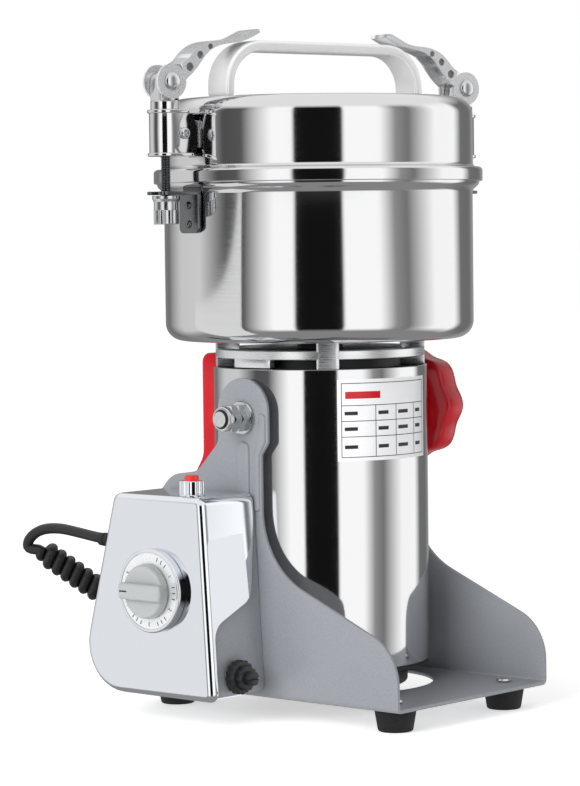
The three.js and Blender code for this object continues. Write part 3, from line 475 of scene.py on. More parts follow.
def smooth_line(points, steps):
    """A Catmull-Rom line through the points, with `steps` places on each stretch."""
    ends = [2 * points[0] - points[1], *points, 2 * points[-1] - points[-2]]
    line = []
    for before, here, there, after in zip(ends, ends[1:], ends[2:], ends[3:]):
        for i in range(steps):
            t = i / steps
            line.append(0.5 * (2 * here + (there - before) * t
                               + (2 * before - 5 * here + 4 * there - after) * t ** 2
                               + (3 * here - before - 3 * there + after) * t ** 3))
    return [*line, points[-1]]


def length_of(line):
    return sum((b - a).length for a, b in zip(line, line[1:]))


def evenly(line, count):
    """The same line through `count` + 1 places that lie equally far apart."""
    stretch = length_of(line) / count
    places, walked, due = [line[0]], 0.0, stretch
    for start, end in zip(line, line[1:]):
        step = (end - start).length
        while walked + step >= due and len(places) < count:
            places.append(start.lerp(end, (due - walked) / step))
            due += stretch
        walked += step
    return [*places, line[-1]]


def helix_round(line, radius, pitch):
    """Winds round a line, opening out over the first turn and closing in over the last."""
    turns = length_of(line) / pitch
    centres = evenly(line, round(turns * points_per_turn))
    side = (line[-1] - line[0]).cross(Vector((0, 0, 1))).normalized()
    wound = []
    for i, centre in enumerate(centres):
        turned = i / points_per_turn
        along = (centres[min(i + 1, len(centres) - 1)] - centres[max(i - 1, 0)]).normalized()
        out = (side - side.dot(along) * along).normalized()
        grown = min(1, turned / growing, max(0, turns - turned) / growing)
        reach = radius * (first_share + (1 - first_share) * grown * grown * (3 - 2 * grown))
        wound.append(centre + Matrix.Rotation(turned * math.tau, 3, along) @ out * reach)
    return wound


middle_line = smooth_line([spot(*p) for p in coil_route], 12)
coil_line = helix_round(middle_line, mm(coil_radius - cable_radius), mm(coil_pitch))
steps = 8
lead_line = smooth_line([*(spot(*p) for p in lead_route), coil_line[0], coil_line[3]], steps)[:-steps]
tail_line = smooth_line([coil_line[-4], coil_line[-1], *(spot(*p) for p in tail_route)], steps)[steps:]
cord_line = evenly(lead_line, 80)[:-1] + coil_line + evenly(tail_line, 60)[1:]
print("the cord is", round(length_of(cord_line), 3), "m long, in", len(cord_line), "points")

# %% The cord as a tube
cord_curve = bpy.data.curves.new("mill_cord", "CURVE")
cord_curve.dimensions = "3D"
cord_curve.bevel_depth = mm(cable_radius)
cord_curve.bevel_resolution = 4
cord_curve.use_fill_caps = True
spline = cord_curve.splines.new("POLY")
spline.points.add(len(cord_line) - 1)
for point, place in zip(spline.points, cord_line):
    point.co = (*place, 1)
bpy.ops.object.select_all(action="DESELECT")
mill_cord = bpy.data.objects.new("mill_cord", cord_curve)
bpy.context.scene.collection.objects.link(mill_cord)
bpy.context.view_layer.objects.active = mill_cord
mill_cord.select_set(True)
bpy.ops.object.convert(target="MESH")
mill_cord = bpy.context.object
bpy.ops.object.shade_smooth()
mill_cord.data.materials.clear()
mill_cord.data.materials.append(cord_jacket)
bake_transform(mill_cord)
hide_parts("cord_lead", "cord_coil", "cord_tail")

# %% [markdown]
# ## Modelling by hand, in a few moves
# Almost every piece is either turned on a lathe or cut from a flat outline. Both start the same way:
# one vertex is pulled from point to point to draw a line. Spinning the line makes the turned piece,
# and filling and extruding it makes the flat one. Then a bevel rounds the edges, as a real tool does.

# %% Drawing, spinning and extruding
def only(piece):
    """Selects one piece and nothing else, in object mode."""
    bpy.ops.object.select_all(action="DESELECT")
    piece.select_set(True)
    bpy.context.view_layer.objects.active = piece


def trace(name, points):
    """Pulls one vertex from point to point, and leaves the line selected in edit mode."""
    bpy.ops.object.select_all(action="DESELECT")
    bpy.ops.mesh.primitive_plane_add(size=mm(1), location=(0, 0, 0))
    piece = bpy.context.object
    piece.name = piece.data.name = name
    bpy.ops.object.mode_set(mode="EDIT")
    bpy.ops.mesh.select_all(action="SELECT")
    bpy.ops.mesh.merge(type="CENTER")
    bpy.ops.transform.translate(value=points[0])
    for here, there in zip(points, points[1:]):
        bpy.ops.mesh.extrude_region_move(TRANSFORM_OT_translate={"value": there - here})
    bpy.ops.mesh.select_all(action="SELECT")
    return piece


def close_up():
    """Merges doubled points, turns all faces outwards and leaves edit mode."""
    bpy.ops.mesh.select_all(action="SELECT")
    bpy.ops.mesh.remove_doubles(threshold=mm(0.002))
    bpy.ops.mesh.normals_make_consistent(inside=False)
    bpy.ops.object.mode_set(mode="OBJECT")


def soften(piece, angle=38):
    only(piece)
    bpy.ops.object.shade_smooth_by_angle(angle=math.radians(angle))
    return piece


lathes = {"+Z": ((1, 0, 0), (0, 0, 1)), "-X": ((0, 1, 0), (-1, 0, 0)), "+X": ((0, 1, 0), (1, 0, 0)),
          "-Y": ((1, 0, 0), (0, -1, 0)), "+Y": ((1, 0, 0), (0, 1, 0)), "-Z": ((1, 0, 0), (0, 0, -1))}


def spun(name, profile, centre=(0, 0, 0), way="+Z", steps=96):
    """Turns (radius, distance) points round a line through `centre` that points `way`. A profile that
    starts off that line is a ring's, and is closed."""
    if profile[0][0]:
        profile = [*profile, profile[0]]
    out, along = (Vector(v) for v in lathes[way])
    points = [spot(*(Vector(centre) + out * r + along * h)) for r, h in profile]
    piece = trace(name, points)
    bpy.ops.mesh.spin(steps=steps, angle=math.tau, center=spot(*centre), axis=along)
    close_up()
    return soften(piece)


planes = {"X": lambda a, b, c: spot(c, a, b), "Y": lambda a, b, c: spot(a, c, b),
          "Z": lambda a, b, c: spot(a, b, c)}


def slab(name, outline, way, start, end):
    """Fills an outline and extrudes it from start to end along X, Y or Z."""
    place = planes[way]
    piece = trace(name, [place(a, b, start) for a, b in outline])
    bpy.ops.mesh.edge_face_add()
    bpy.ops.mesh.extrude_region_move(TRANSFORM_OT_translate={"value": place(0, 0, end) - place(0, 0, start)})
    close_up()
    return piece


def round_edges(piece, width, segments=3, angle=35):
    """Rounds every edge sharper than `angle` to `width` mm."""
    only(piece)
    bevel = piece.modifiers.new("edges", "BEVEL")
    bevel.width = mm(width)
    bevel.segments = segments
    bevel.limit_method = "ANGLE"
    bevel.angle_limit = math.radians(angle)
    bpy.ops.object.modifier_apply(modifier="edges")
    return soften(piece)


def combine(piece, tool, operation):
    """Cuts a tool from a piece, or melts it in, and puts the tool away."""
    only(piece)
    boolean = piece.modifiers.new("tool", "BOOLEAN")
    boolean.operation = operation
    boolean.solver = "EXACT"
    boolean.object = tool
    bpy.ops.object.modifier_apply(modifier="tool")
    bpy.data.objects.remove(tool)
    return piece


def cut(piece, *tools):
    for tool in tools:
        combine(piece, tool, "DIFFERENCE")
    return piece


def melt(piece, *others):
    for other in others:
        combine(piece, other, "UNION")
    return piece


def bind(name, *parts):
    """Joins parts that the real piece has as one, under one name."""
    only(parts[0])
    for part in parts:
        part.select_set(True)
    bpy.ops.object.join()
    joined = bpy.context.object
    joined.name = joined.data.name = name
    return joined


def duplicate(piece, name, matrix=None):
    """A copy with its own mesh, moved by a matrix."""
    only(piece)
    bpy.ops.object.duplicate()
    copy = bpy.context.object
    copy.name = copy.data.name = name
    if matrix:
        copy.data.transform(matrix)
    return copy


def turn_about(centre, degrees, way="Z"):
    """The matrix of a turn round a line through a point given in millimetres."""
    middle = spot(*centre)
    turn = Matrix.Rotation(math.radians(degrees), 4, way)
    return Matrix.Translation(middle) @ turn @ Matrix.Translation(-middle)


def dress(piece, material, slot_name, body, *replaced):
    """Gives a finished piece its material and the body that it moves with; its slot name is not used."""
    piece.data.materials.clear()
    piece.data.materials.append(material)
    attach(piece, body)
    if replaced:
        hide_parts(*replaced)
    return piece


# %% Outlines
def arc(cx, cy, radius, start, end, steps=6):
    """Points of part of a circle, both ends included."""
    angles = [math.radians(start + (end - start) * i / steps) for i in range(steps + 1)]
    return [(cx + radius * math.cos(a), cy + radius * math.sin(a)) for a in angles]


def rounded(corners, steps=6):
    """An outline of (x, y, radius) corners, each rounded by its own radius."""
    outline = []
    for i, corner in enumerate(corners):
        here = Vector(corner[:2])
        radius = corner[2] if len(corner) > 2 else 0
        if not radius:
            outline.append(tuple(here))
            continue
        before = (Vector(corners[i - 1][:2]) - here).normalized()
        after = (Vector(corners[(i + 1) % len(corners)][:2]) - here).normalized()
        half = math.acos(max(-1, min(1, before.dot(after)))) / 2
        middle = here + (before + after).normalized() * radius / math.sin(half)
        first = here + before * radius / math.tan(half) - middle
        last = here + after * radius / math.tan(half) - middle
        sweep = math.atan2(first.cross(last), first.dot(last))
        for k in range(steps + 1):
            spoke = Matrix.Rotation(sweep * k / steps, 2) @ first
            outline.append(tuple(middle + spoke))
    return outline


def box_outline(x0, x1, y0, y1, radius=0, steps=6):
    return rounded([(x0, y0, radius), (x1, y0, radius), (x1, y1, radius), (x0, y1, radius)], steps)


def disc(name, radius, start, end, centre, way, edge=0.3, steps=48):
    """A plain turned disc with softened rims."""
    return spun(name, [(0, start), (radius - edge, start), (radius, start + edge), (radius, end - edge),
                       (radius - edge, end), (0, end)], centre, way, steps)


# %% [markdown]
# ## The motor's barrel
# The barrel is a drawn steel tube with a mirror polish. Its wall is 1.5 mm thick, and its two lips are
# dressed round, so that the light runs along them as a thin line.

# %% Barrel and bottom cap
barrel_wall = 1.5
lip = 0.5
inner_radius = barrel_radius - barrel_wall
motor_barrel = spun("barrel_shell", [
    (inner_radius, barrel_bottom + lip), *arc(inner_radius + lip, barrel_bottom + lip, lip, 180, 270, 3),
    *arc(barrel_radius - lip, barrel_bottom + lip, lip, 270, 360, 3),
    *arc(barrel_radius - lip, barrel_top - lip, lip, 0, 90, 3),
    *arc(inner_radius + lip, barrel_top - lip, lip, 90, 180, 3)], steps=128)
dress(motor_barrel, polished_steel, "polished_steel", "motor", "motor_barrel")

cap_low = span("bottom_cap")[0].z
cap_radius = barrel_radius - 11.5
bottom_cap = spun("ventilated_bottom_cap", [
    (0, cap_low), *arc(cap_radius - 2, cap_low + 2, 2, -90, 0, 4), (cap_radius, barrel_bottom - 2),
    (barrel_radius - 0.8, barrel_bottom - 2), (barrel_radius - 0.5, barrel_bottom - 1.7),
    (barrel_radius - 0.5, barrel_bottom - 0.3), (inner_radius - 0.3, barrel_bottom - 0.3),
    (inner_radius - 0.3, barrel_bottom + 4), (inner_radius - 2.3, barrel_bottom + 4),
    (inner_radius - 2.3, barrel_bottom + 0.5), (cap_radius - 2, barrel_bottom - 1.5),
    (cap_radius - 2, cap_low + 3), (0, cap_low + 3)])
vent_count = 12
for i in range(vent_count):
    slot_piece = slab("vent_slot", box_outline(20, 36, -2, 2, 1.9), "Z", cap_low - 1, cap_low + 4)
    slot_piece.data.transform(turn_about((0, 0, 0), i * 360 / vent_count))
    cut(bottom_cap, slot_piece)
dress(soften(bottom_cap), black_nylon, "black_plastic", "motor", "bottom_cap")
print("barrel and cap done")

# %% [markdown]
# ## The neck
# The upper end frame is a turned casting. A ring and four square posts stand between the barrel and
# the bowl. The core of the casting behind the gaps is drawn black as painted shade, for the shadow
# inside the neck. A short tab hangs from the ring.

# %% Neck casting
ring_radius = barrel_radius - 1.2
ring_low = barrel_top + 4.7
ring = spun("neck_ring", [
    (ring_radius - 8, ring_low), (ring_radius - 0.4, ring_low), (ring_radius, ring_low + 0.4),
    (ring_radius, ring_low + 4.2), (ring_radius - 0.4, ring_low + 4.6), (ring_radius - 8, ring_low + 4.6)],
    steps=128)


def ring_block(name, half_angle, middle_angle, depth, low, high):
    """A block whose outer face follows the ring."""
    outline = [*arc(0, 0, ring_radius, middle_angle - half_angle, middle_angle + half_angle, 6),
               *arc(0, 0, ring_radius - depth, middle_angle + half_angle, middle_angle - half_angle, 6)]
    return slab(name, outline, "Z", low, high)


posts = [ring_block("post", 6.1, degrees, 12, barrel_top - 0.2, bowl_floor - 0.3)
         for degrees in (45, 135, 225, 315)]
tab = ring_block("tab", 13, 180, 5, barrel_top + 0.5, ring_low + 0.4)
neck_casting = bind("neck_casting", ring, *[round_edges(part, 0.4, 2) for part in (*posts, tab)])
dress(neck_casting, turned_aluminium, "cast_aluminium", "motor", "upper_end_frame")
# Painted shade: the core is given a black finish, which stands for the shadow between the posts.
neck_core = spun("neck_core", [
    (0, barrel_top - 8), (inner_radius - 0.4, barrel_top - 8), (inner_radius - 0.4, barrel_top - 0.5),
    (ring_radius - 12, barrel_top - 0.3), (ring_radius - 13, bowl_floor - 5.4), (12, bowl_floor - 5),
    (12, bowl_floor - 3.2), (0, bowl_floor - 3.2)])
dress(neck_core, black_nylon, "cast_aluminium", "motor")

# %% [markdown]
# ## Bowl and lid
# Both are deep-drawn sheet, so their corners are large radii and their walls are thin. The bowl flares
# at its mouth to carry the lid's band. The band's upper edge rolls over and runs into the lid's wall.

# %% Bowl
bowl_radius = 80.0
bowl_wall = 1.2
bowl_corner = 9.0
rim_radius = 83.5
rim_top = band_bottom + 4.2
seal_hole = 10.3
inside = bowl_radius - bowl_wall
bowl = spun("grinding_bowl_shell", [
    (seal_hole, bowl_floor), *arc(bowl_radius - bowl_corner, bowl_floor + bowl_corner, bowl_corner, -90, 0, 12),
    (bowl_radius, band_bottom - 5.5), (bowl_radius + 0.5, band_bottom - 4.3),
    (bowl_radius + 2, band_bottom - 2.9), (rim_radius - 0.5, band_bottom - 1.9),
    (rim_radius, band_bottom - 0.8), (rim_radius, rim_top - 0.4),
    (rim_radius - 0.4, rim_top), (inside + 0.4, rim_top), (inside, rim_top - 0.4),
    *arc(bowl_radius - bowl_corner, bowl_floor + bowl_corner, bowl_corner - bowl_wall, 0, -90, 12),
    (seal_hole, bowl_floor + bowl_wall)], steps=160)
dress(bowl, polished_steel, "polished_steel", "motor", "grinding_bowl")

# %% Lid
lid_radius = bowl_radius + 0.3
lid_corner = 9.0
band_radius = span("lid")[1].x
shoulder = lid_radius - lid_corner
lid_skin = bowl_wall
lid = spun("lid_shell", [
    *arc(band_radius - 0.5, band_bottom + 0.5, 0.5, -90, 0, 3),
    *arc(band_radius - 2, band_top - 2, 2, 0, 80, 6),
    *arc(lid_radius + 2.1, band_top + 2.1, 2.1, -100, -180, 6),
    *arc(shoulder, lid_top - lid_corner, lid_corner, 0, 88, 14),
    (shoulder - 6, lid_top - 0.55), (shoulder - 9, lid_top - 0.1), (0, lid_top), (0, lid_top - lid_skin),
    (shoulder - 8, lid_top - lid_skin - 0.4),
    *arc(shoulder, lid_top - lid_corner, lid_corner - lid_skin, 88, 0, 10),
    (lid_radius - lid_skin, band_top - lid_skin), (band_radius - lid_skin, band_top - lid_skin),
    (band_radius - lid_skin, band_bottom)], steps=160)
dress(lid, polished_steel, "polished_steel", "motor", "lid")
print("bowl and lid done")

# %% [markdown]
# ## Carry handle
# A flat bar, 17 by 5.5 mm, bent into a bridge and frosted. Its edges are well rounded for the hand.
# It stands along the line through both latches, which is turned a little from the trunnion's line.

# %% Handle
latch_turn = -11.5
handle_top = span("carry_handle")[1].z
half_span, bar, bend = 64.0, 5.5, 23.0
foot_z = lid_top + 0.3
bridge = rounded([
    (-half_span, foot_z), (-half_span + bar, foot_z), (-half_span + bar, handle_top - bar, bend - bar),
    (half_span - bar, handle_top - bar, bend - bar), (half_span - bar, foot_z), (half_span, foot_z),
    (half_span, handle_top, bend), (-half_span, handle_top, bend)], steps=14)
handle = round_edges(slab("carry_handle_bar", bridge, "Y", -8.5, 8.5), 1.7, 5)
handle.data.transform(turn_about((0, 0, 0), latch_turn))
dress(handle, blasted_aluminium, "satin_aluminium", "motor", "carry_handle")

# %% [markdown]
# ## The painted base
# One steel sheet, 2 mm thick, is cut out and folded up on both sides. Folding leaves a round bend along
# the foot of each wall. So the whole channel is drawn as a bent strip first, and then trimmed to the
# outline of the walls, which keeps the bend true along its whole length.

# %% Folded channel, trimmed to the arms' outline
sheet = 2.0
fold = 3.0
base_low, base_high = span("base_frame")
wall_inner = wall_outer - sheet
plate_top = plate_bottom + sheet
crown = base_high.z
strip = [
    (-wall_outer, crown + 2), *arc(-wall_outer + fold, plate_bottom + fold, fold, 180, 270, 6),
    *arc(wall_outer - fold, plate_bottom + fold, fold, 270, 360, 6), (wall_outer, crown + 2),
    (wall_inner, crown + 2), *arc(wall_outer - fold, plate_bottom + fold, fold - sheet, 0, -90, 4),
    *arc(-wall_outer + fold, plate_bottom + fold, fold - sheet, 270, 180, 4), (-wall_inner, crown + 2)]
base_frame = slab("folded_base", strip, "Y", base_low.y - 1, base_high.y + 1)
arm_half = 16.9
hip = trunnion - 30
wall = rounded([
    (base_low.y, plate_bottom), (base_high.y, plate_bottom), (base_high.y, hip - 30, 20), (50, hip - 1, 14),
    (32, hip + 1.5, 9), (arm_half, trunnion - 13, 8), (arm_half, crown, arm_half - 0.1),
    (-arm_half, crown, arm_half - 0.1), (-arm_half, trunnion - 12.5, 4), (-arm_half + 4.6, trunnion - 18.5, 4),
    (-arm_half + 4.6, plate_bottom + 67.7, 42), (base_low.y, plate_bottom + 30.3, 26)], steps=12)
outline_tool = slab("wall_outline", wall, "X", -wall_outer - 2, wall_outer + 2)
combine(base_frame, outline_tool, "INTERSECT")
hole_half, hole_length = barrel_radius - 6.5, barrel_radius + 4
plate_hole = box_outline(-hole_half, hole_half, -hole_length, hole_length, hole_half - 0.5, 20)
cut(base_frame, slab("plate_hole", plate_hole, "Z", plate_bottom - 2, plate_top + 2),
    disc("trunnion_hole", 4.3, -wall_outer - 3, wall_outer + 3, (0, 0, trunnion), "+X"))
round_edges(base_frame, 0.45, 2, 40)

# %% [markdown]
# Each arm is stiffened by a pressed rib that runs down from the trunnion, and by a shallow raised edge
# along its front. A press tool pushes the sheet out about a millimetre, with no sharp corner anywhere,
# so each rib is a low bar with a wide bevel, sunk a little into the wall.

# %% Pressed ribs
def pressed_rib(name, outline, side):
    """A low bar on the outer face of a wall; `side` is -1 on the left and 1 on the right."""
    sunk, proud = side * (wall_outer - 1.2), side * (wall_outer + 1.1)
    return round_edges(slab(name, outline, "X", min(sunk, proud), max(sunk, proud)), 1.05, 4, 50)


rib_foot = span("control_box_chassis")[1].z - 8
ribs = []
for side_name, side in (("left", -1), ("right", 1)):
    ribs.append(pressed_rib(f"rib_{side_name}", box_outline(-4.6, 3.6, rib_foot, trunnion - 12, 3.9), side))
    edge = rounded([
        (-arm_half + 1.2, trunnion + 1, 1.8), (-arm_half + 5.4, trunnion + 4, 1.8),
        (-arm_half + 6.2, trunnion - 12, 4), (-arm_half + 9.2, trunnion - 20, 4),
        (-arm_half + 9.2, rib_foot, 1.8), (-arm_half + 5.4, rib_foot, 1.8),
        (-arm_half + 5.4, trunnion - 19, 3), (-arm_half + 1.2, trunnion - 12, 3)])
    ribs.append(pressed_rib(f"edge_rib_{side_name}", edge, side))
base_frame = bind("folded_base", base_frame, *ribs)
dress(base_frame, hammer_paint, "hammertone_paint", "base", "base_frame")
print("base has", len(base_frame.data.polygons), "faces")

# %% Rubber feet
foot_names = [f"foot_{side}_{end}" for side in ("left", "right") for end in ("front", "back")]
foot_middle = middle_of(foot_names[0])
foot_at = (foot_middle.x, foot_middle.y, 0)
foot_top = plate_bottom - 0.3
foot = spun("rubber_foot", [
    (0, 1.2), (4, 1.2), (4.4, 0.2), (5, 0), (7.7, 0), *arc(7.7, 1.2, 1.2, -90, -8, 4),
    *arc(9.7, foot_top - 0.8, 0.8, 8, 90, 4), (0, foot_top)], foot_at, steps=40)
screw = disc("foot_screw", 3.9, plate_top + 0.1, plate_top + 1.9, foot_at, "+Z", 0.8, 24)
cross = slab("cross", box_outline(foot_middle.x - 2.2, foot_middle.x + 2.2, foot_middle.y - 0.4,
                                  foot_middle.y + 0.4), "Z", plate_top + 0.9, plate_top + 3)
cross_over = duplicate(cross, "cross_over", turn_about(foot_middle, 90))
soften(cut(screw, cross, cross_over))
for name in foot_names:
    move = Matrix.Translation((middle_of(name) - foot_middle) / 1000)
    dress(duplicate(foot, f"rubber_{name}", move), black_rubber, "black_rubber", "base", name)
    dress(duplicate(screw, f"{name}_screw", move), zinc_plate, "zinc_steel", "base")
for pattern in (foot, screw):
    bpy.data.objects.remove(pattern)

# %% [markdown]
# ## The timer box
# A painted chassis is screwed to the left arm, and a chromed cover slides over it. Both are pressed
# sheet with round corners. The cover's front side is cut away in an S, which shows the painted chassis
# and leaves room for the fuse. Each is a solid block first, opened on its hidden side and thinned.

# %% Pressed boxes
cover_low, cover_high = span("control_box_cover")
box_top, box_bottom = cover_high.z, cover_low.z
front_top, front_bottom, back_top, back_bottom = -8.4, -14.9, 53.5, 81.3
box_edge, box_heel = 5.0, 24.0      # corner radii; the heel is the lower back corner


def box_side(inset):
    """The box's outline seen from the left, drawn in by `inset` all round."""
    lean = (front_top - front_bottom) / (box_top - box_bottom)
    slope = (back_bottom - back_top) / (box_top - box_bottom)
    low, high = box_bottom + inset, box_top - inset
    front = [front_bottom + lean * (z - box_bottom) + inset for z in (low, high)]
    back = [back_bottom - slope * (z - box_bottom) - inset for z in (low, high)]
    return rounded([(front[0], low, box_edge - inset), (back[0], low, box_heel - inset),
                    (back[1], high, box_edge - inset), (front[1], high, box_edge - inset)], 10)


def pick(piece, kind, test):
    """Enters edit mode with only the edges or faces selected whose vertices all pass the test."""
    only(piece)
    bpy.ops.object.mode_set(mode="EDIT")
    bpy.ops.mesh.select_all(action="DESELECT")
    mesh = bmesh.from_edit_mesh(piece.data)
    for element in getattr(mesh, kind):
        if all(test(v.co) for v in element.verts):
            element.select_set(True)
    bmesh.update_edit_mesh(piece.data)


def pressed_box(name, inset, face, rim, corner, thickness):
    """A box with rounded front edges, open towards the arm."""
    piece = slab(name, box_side(inset), "X", face, rim)
    face_x, rim_x = spot(face, 0, 0).x, spot(rim, 0, 0).x
    pick(piece, "edges", lambda co: abs(co.x - face_x) < mm(0.01))
    bpy.ops.mesh.bevel(offset=mm(corner), segments=7, affect="EDGES")
    bpy.ops.object.mode_set(mode="OBJECT")
    pick(piece, "faces", lambda co: abs(co.x - rim_x) < mm(0.01))
    bpy.ops.mesh.delete(type="FACE")
    bpy.ops.object.mode_set(mode="OBJECT")
    wall_modifier = piece.modifiers.new("wall", "SOLIDIFY")
    wall_modifier.thickness = mm(thickness)
    wall_modifier.offset = -1
    bpy.ops.object.modifier_apply(modifier="wall")
    return piece


cover_skin = 1.2
shell_inset = cover_skin + 0.3
cover_face, cover_rim = cover_low.x, cover_high.x
chassis_back = span("control_box_chassis")[1].x
cover = pressed_box("chromed_cover", 0, cover_face, cover_rim, 4.2, cover_skin)
s_cut = rounded([
    (cover_face + 4.4, box_bottom - 4), (cover_rim + 3, box_bottom - 4), (cover_rim + 3, box_top - 1),
    (cover_rim + 1, box_top - 1), (cover_rim - 5.7, box_bottom + 49.5, 10),
    (cover_face + 4.4, box_bottom + 37.5, 10)], 10)
dial_y, dial_z = middle_of("timer_dial").yz
lamp_x, lamp_y = middle_of("pilot_lamp_bezel").xy
cut(cover, slab("s_cut", s_cut, "Y", front_bottom - 4, front_top + 3),
    disc("bush_hole", 5.1, -4, 4, (cover_face, dial_y, dial_z), "+X"),
    disc("lamp_hole", 4.8, -4, 4, (lamp_x, lamp_y, box_top), "+Z"))
dress(soften(cover), chrome_plate, "chromed_sheet", "base", "control_box_cover")
chassis = pressed_box("painted_chassis", shell_inset, cover_face + shell_inset, chassis_back, 3.6, sheet)
dress(soften(chassis), hammer_paint, "hammertone_paint", "base", "control_box_chassis")

# %% [markdown]
# ## Dial and knob
# The timer's dial is a thick turned disc, silver on its face, with ticks ten seconds apart between
# plain numerals. Marks are thin raised strips of ink, so they stay sharp in the exported mesh. The knob
# is moulded, with a wide finger bar across it and a shallow scoop on each side of the bar.

# %% Dial
dial_low, dial_high = span("timer_dial")
dial_radius = (dial_high.z - dial_low.z) / 2
dial_back, dial_front = cover_face - 0.3, dial_low.x
thick = dial_back - dial_front
dial = spun("turned_dial", [
    (5.1, 0), (dial_radius - 0.4, 0), (dial_radius, 0.4), (dial_radius, thick - 1.0),
    *arc(dial_radius - 1.0, thick - 1.0, 1.0, 0, 90, 4), (dial_radius - 1.8, thick - 0.05),
    (dial_radius - 2.0, thick - 0.3), (5.1, thick - 0.3)], (dial_back, dial_y, dial_z), "-X", 96)
dress(dial, chrome_plate, "satin_aluminium", "base", "timer_dial")
dial_face = spun("dial_face", [
    (5.3, thick - 0.35), (dial_radius - 2.05, thick - 0.35), (dial_radius - 2.05, thick - 0.25),
    (5.3, thick - 0.25)], (dial_back, dial_y, dial_z), "-X", 96)
dress(dial_face, dial_silver, "satin_aluminium", "base")
ink_back, ink_front = dial_front + 0.3, dial_front + 0.17
to_dial = Matrix.Translation((0, mm(dial_y), mm(dial_z)))


def dial_mark(angle, inner, outer, width):
    """A radial tick; angles run clockwise from the top, as the dial is seen."""
    tick = slab("tick", box_outline(-width / 2, width / 2, inner, outer), "X", ink_front, ink_back)
    tick.data.transform(to_dial)
    tick.data.transform(turn_about((0, dial_y, dial_z), angle, "X"))
    return tick


def dial_numeral(text, angle, radius, size):
    """A raised numeral whose head points away from the dial's middle."""
    bpy.ops.object.select_all(action="DESELECT")
    bpy.ops.object.text_add(location=(0, 0, 0))
    numeral = bpy.context.object
    numeral.data.body = text
    numeral.data.size = mm(size)
    numeral.data.extrude = mm(0.07)
    numeral.data.align_x = numeral.data.align_y = "CENTER"
    bpy.ops.object.convert(target="MESH")
    numeral = bpy.context.object
    stand_up = Matrix(((0, 0, -1, 0), (-1, 0, 0, 0), (0, 1, 0, 0), (0, 0, 0, 1)))
    lift = Matrix.Translation((0, 0, mm(radius)))
    home = Matrix.Translation(spot(ink_front + 0.07, dial_y, dial_z))
    numeral.data.transform(home @ Matrix.Rotation(math.radians(angle), 4, "X") @ lift @ stand_up)
    return numeral


dial_minutes = 5
minute_angle = 60
ticks_per_minute = 6
marks = [dial_mark(i * minute_angle / ticks_per_minute, 16.0, 18.2, 0.45)
         for i in range(1, ticks_per_minute * dial_minutes) if i % ticks_per_minute not in (0, 1, 5)]
numerals = [dial_numeral(str(minute), minute * minute_angle, 16.6, 3.0)
            for minute in range(1, dial_minutes + 1)]
dress(bind("dial_marks", *marks, *numerals), printing_ink, "black_plastic", "base")

# %% Knob
knob_low, knob_high = span("timer_knob")
knob_radius = (knob_high.z - knob_low.z) / 2
knob_base = dial_front - 0.3
bar_front = knob_low.x
knob_face = bar_front + 3.0
rise = knob_base - knob_face
knob = spun("timer_knob_disc", [
    (0, -2), (3, -2), (3, 0), (knob_radius - 0.4, 0), (knob_radius, 0.5),
    (knob_radius - 0.5, rise - 1.2), *arc(knob_radius - 1.9, rise - 1.2, 1.2, 0, 90, 4),
    (knob_radius - 4, rise - 0.4), (6, rise - 0.9), (0, rise - 1.0)], (knob_base, dial_y, dial_z), "-X", 64)
finger_bar = slab("finger_bar", box_outline(-knob_radius - 0.4, knob_radius + 0.4, -4.2, 4.2, 2), "X",
                  bar_front, knob_base - 1.2)
finger_bar.data.transform(to_dial)
round_edges(finger_bar, 1.5, 4, 50)
pointer = slab("pointer_line", box_outline(dial_y + 8, dial_y + knob_radius - 1, dial_z - 0.4, dial_z + 0.4),
               "X", bar_front - 0.02, bar_front + 0.2)
dress(bind("moulded_timer_knob", knob, finger_bar), grey_abs, "grey_plastic", "timer_knob", "timer_knob")
dress(pointer, printing_ink, "black_plastic", "timer_knob")

# %% Pilot lamp
bezel_low = box_top + 0.3
bezel_high = span("pilot_lamp_bezel")[1].z


def fluted(name, radius, depth, count, way, start, end, centre, per_flute=6):
    """A bar with shallow flutes down its side."""
    outline = []
    for i in range(count * per_flute):
        a = i * math.tau / (count * per_flute)
        r = radius - depth * (1 - math.cos(count * a)) / 2
        outline.append((centre[0] + r * math.cos(a), centre[1] + r * math.sin(a)))
    return slab(name, outline, way, start, end)


bezel = fluted("bezel", 6.6, 0.5, 12, "Z", bezel_low, bezel_high, (lamp_x, lamp_y), 5)
round_edges(bezel, 0.5, 3, 50)
cut(bezel, disc("bezel_bore", 3.7, bezel_low - 3, bezel_high + 3, (lamp_x, lamp_y, 0), "+Z"))
washer = disc("bezel_washer", 6.9, box_top + 0.02, box_top + 0.6, (lamp_x, lamp_y, 0), "+Z", 0.2)
dress(soften(bind("fluted_lamp_bezel", bezel, washer)), chrome_plate, "chromed_sheet", "base",
      "pilot_lamp_bezel")
lens_top = span("pilot_lamp_lens")[1].z
lens = fluted("ribbed_lamp_lens", 3.55, 0.3, 8, "Z", box_top - 6, lens_top, (lamp_x, lamp_y))
round_edges(lens, 0.6, 3, 50)
dress(lens, red_lens, "red_lens", "base", "pilot_lamp_lens")

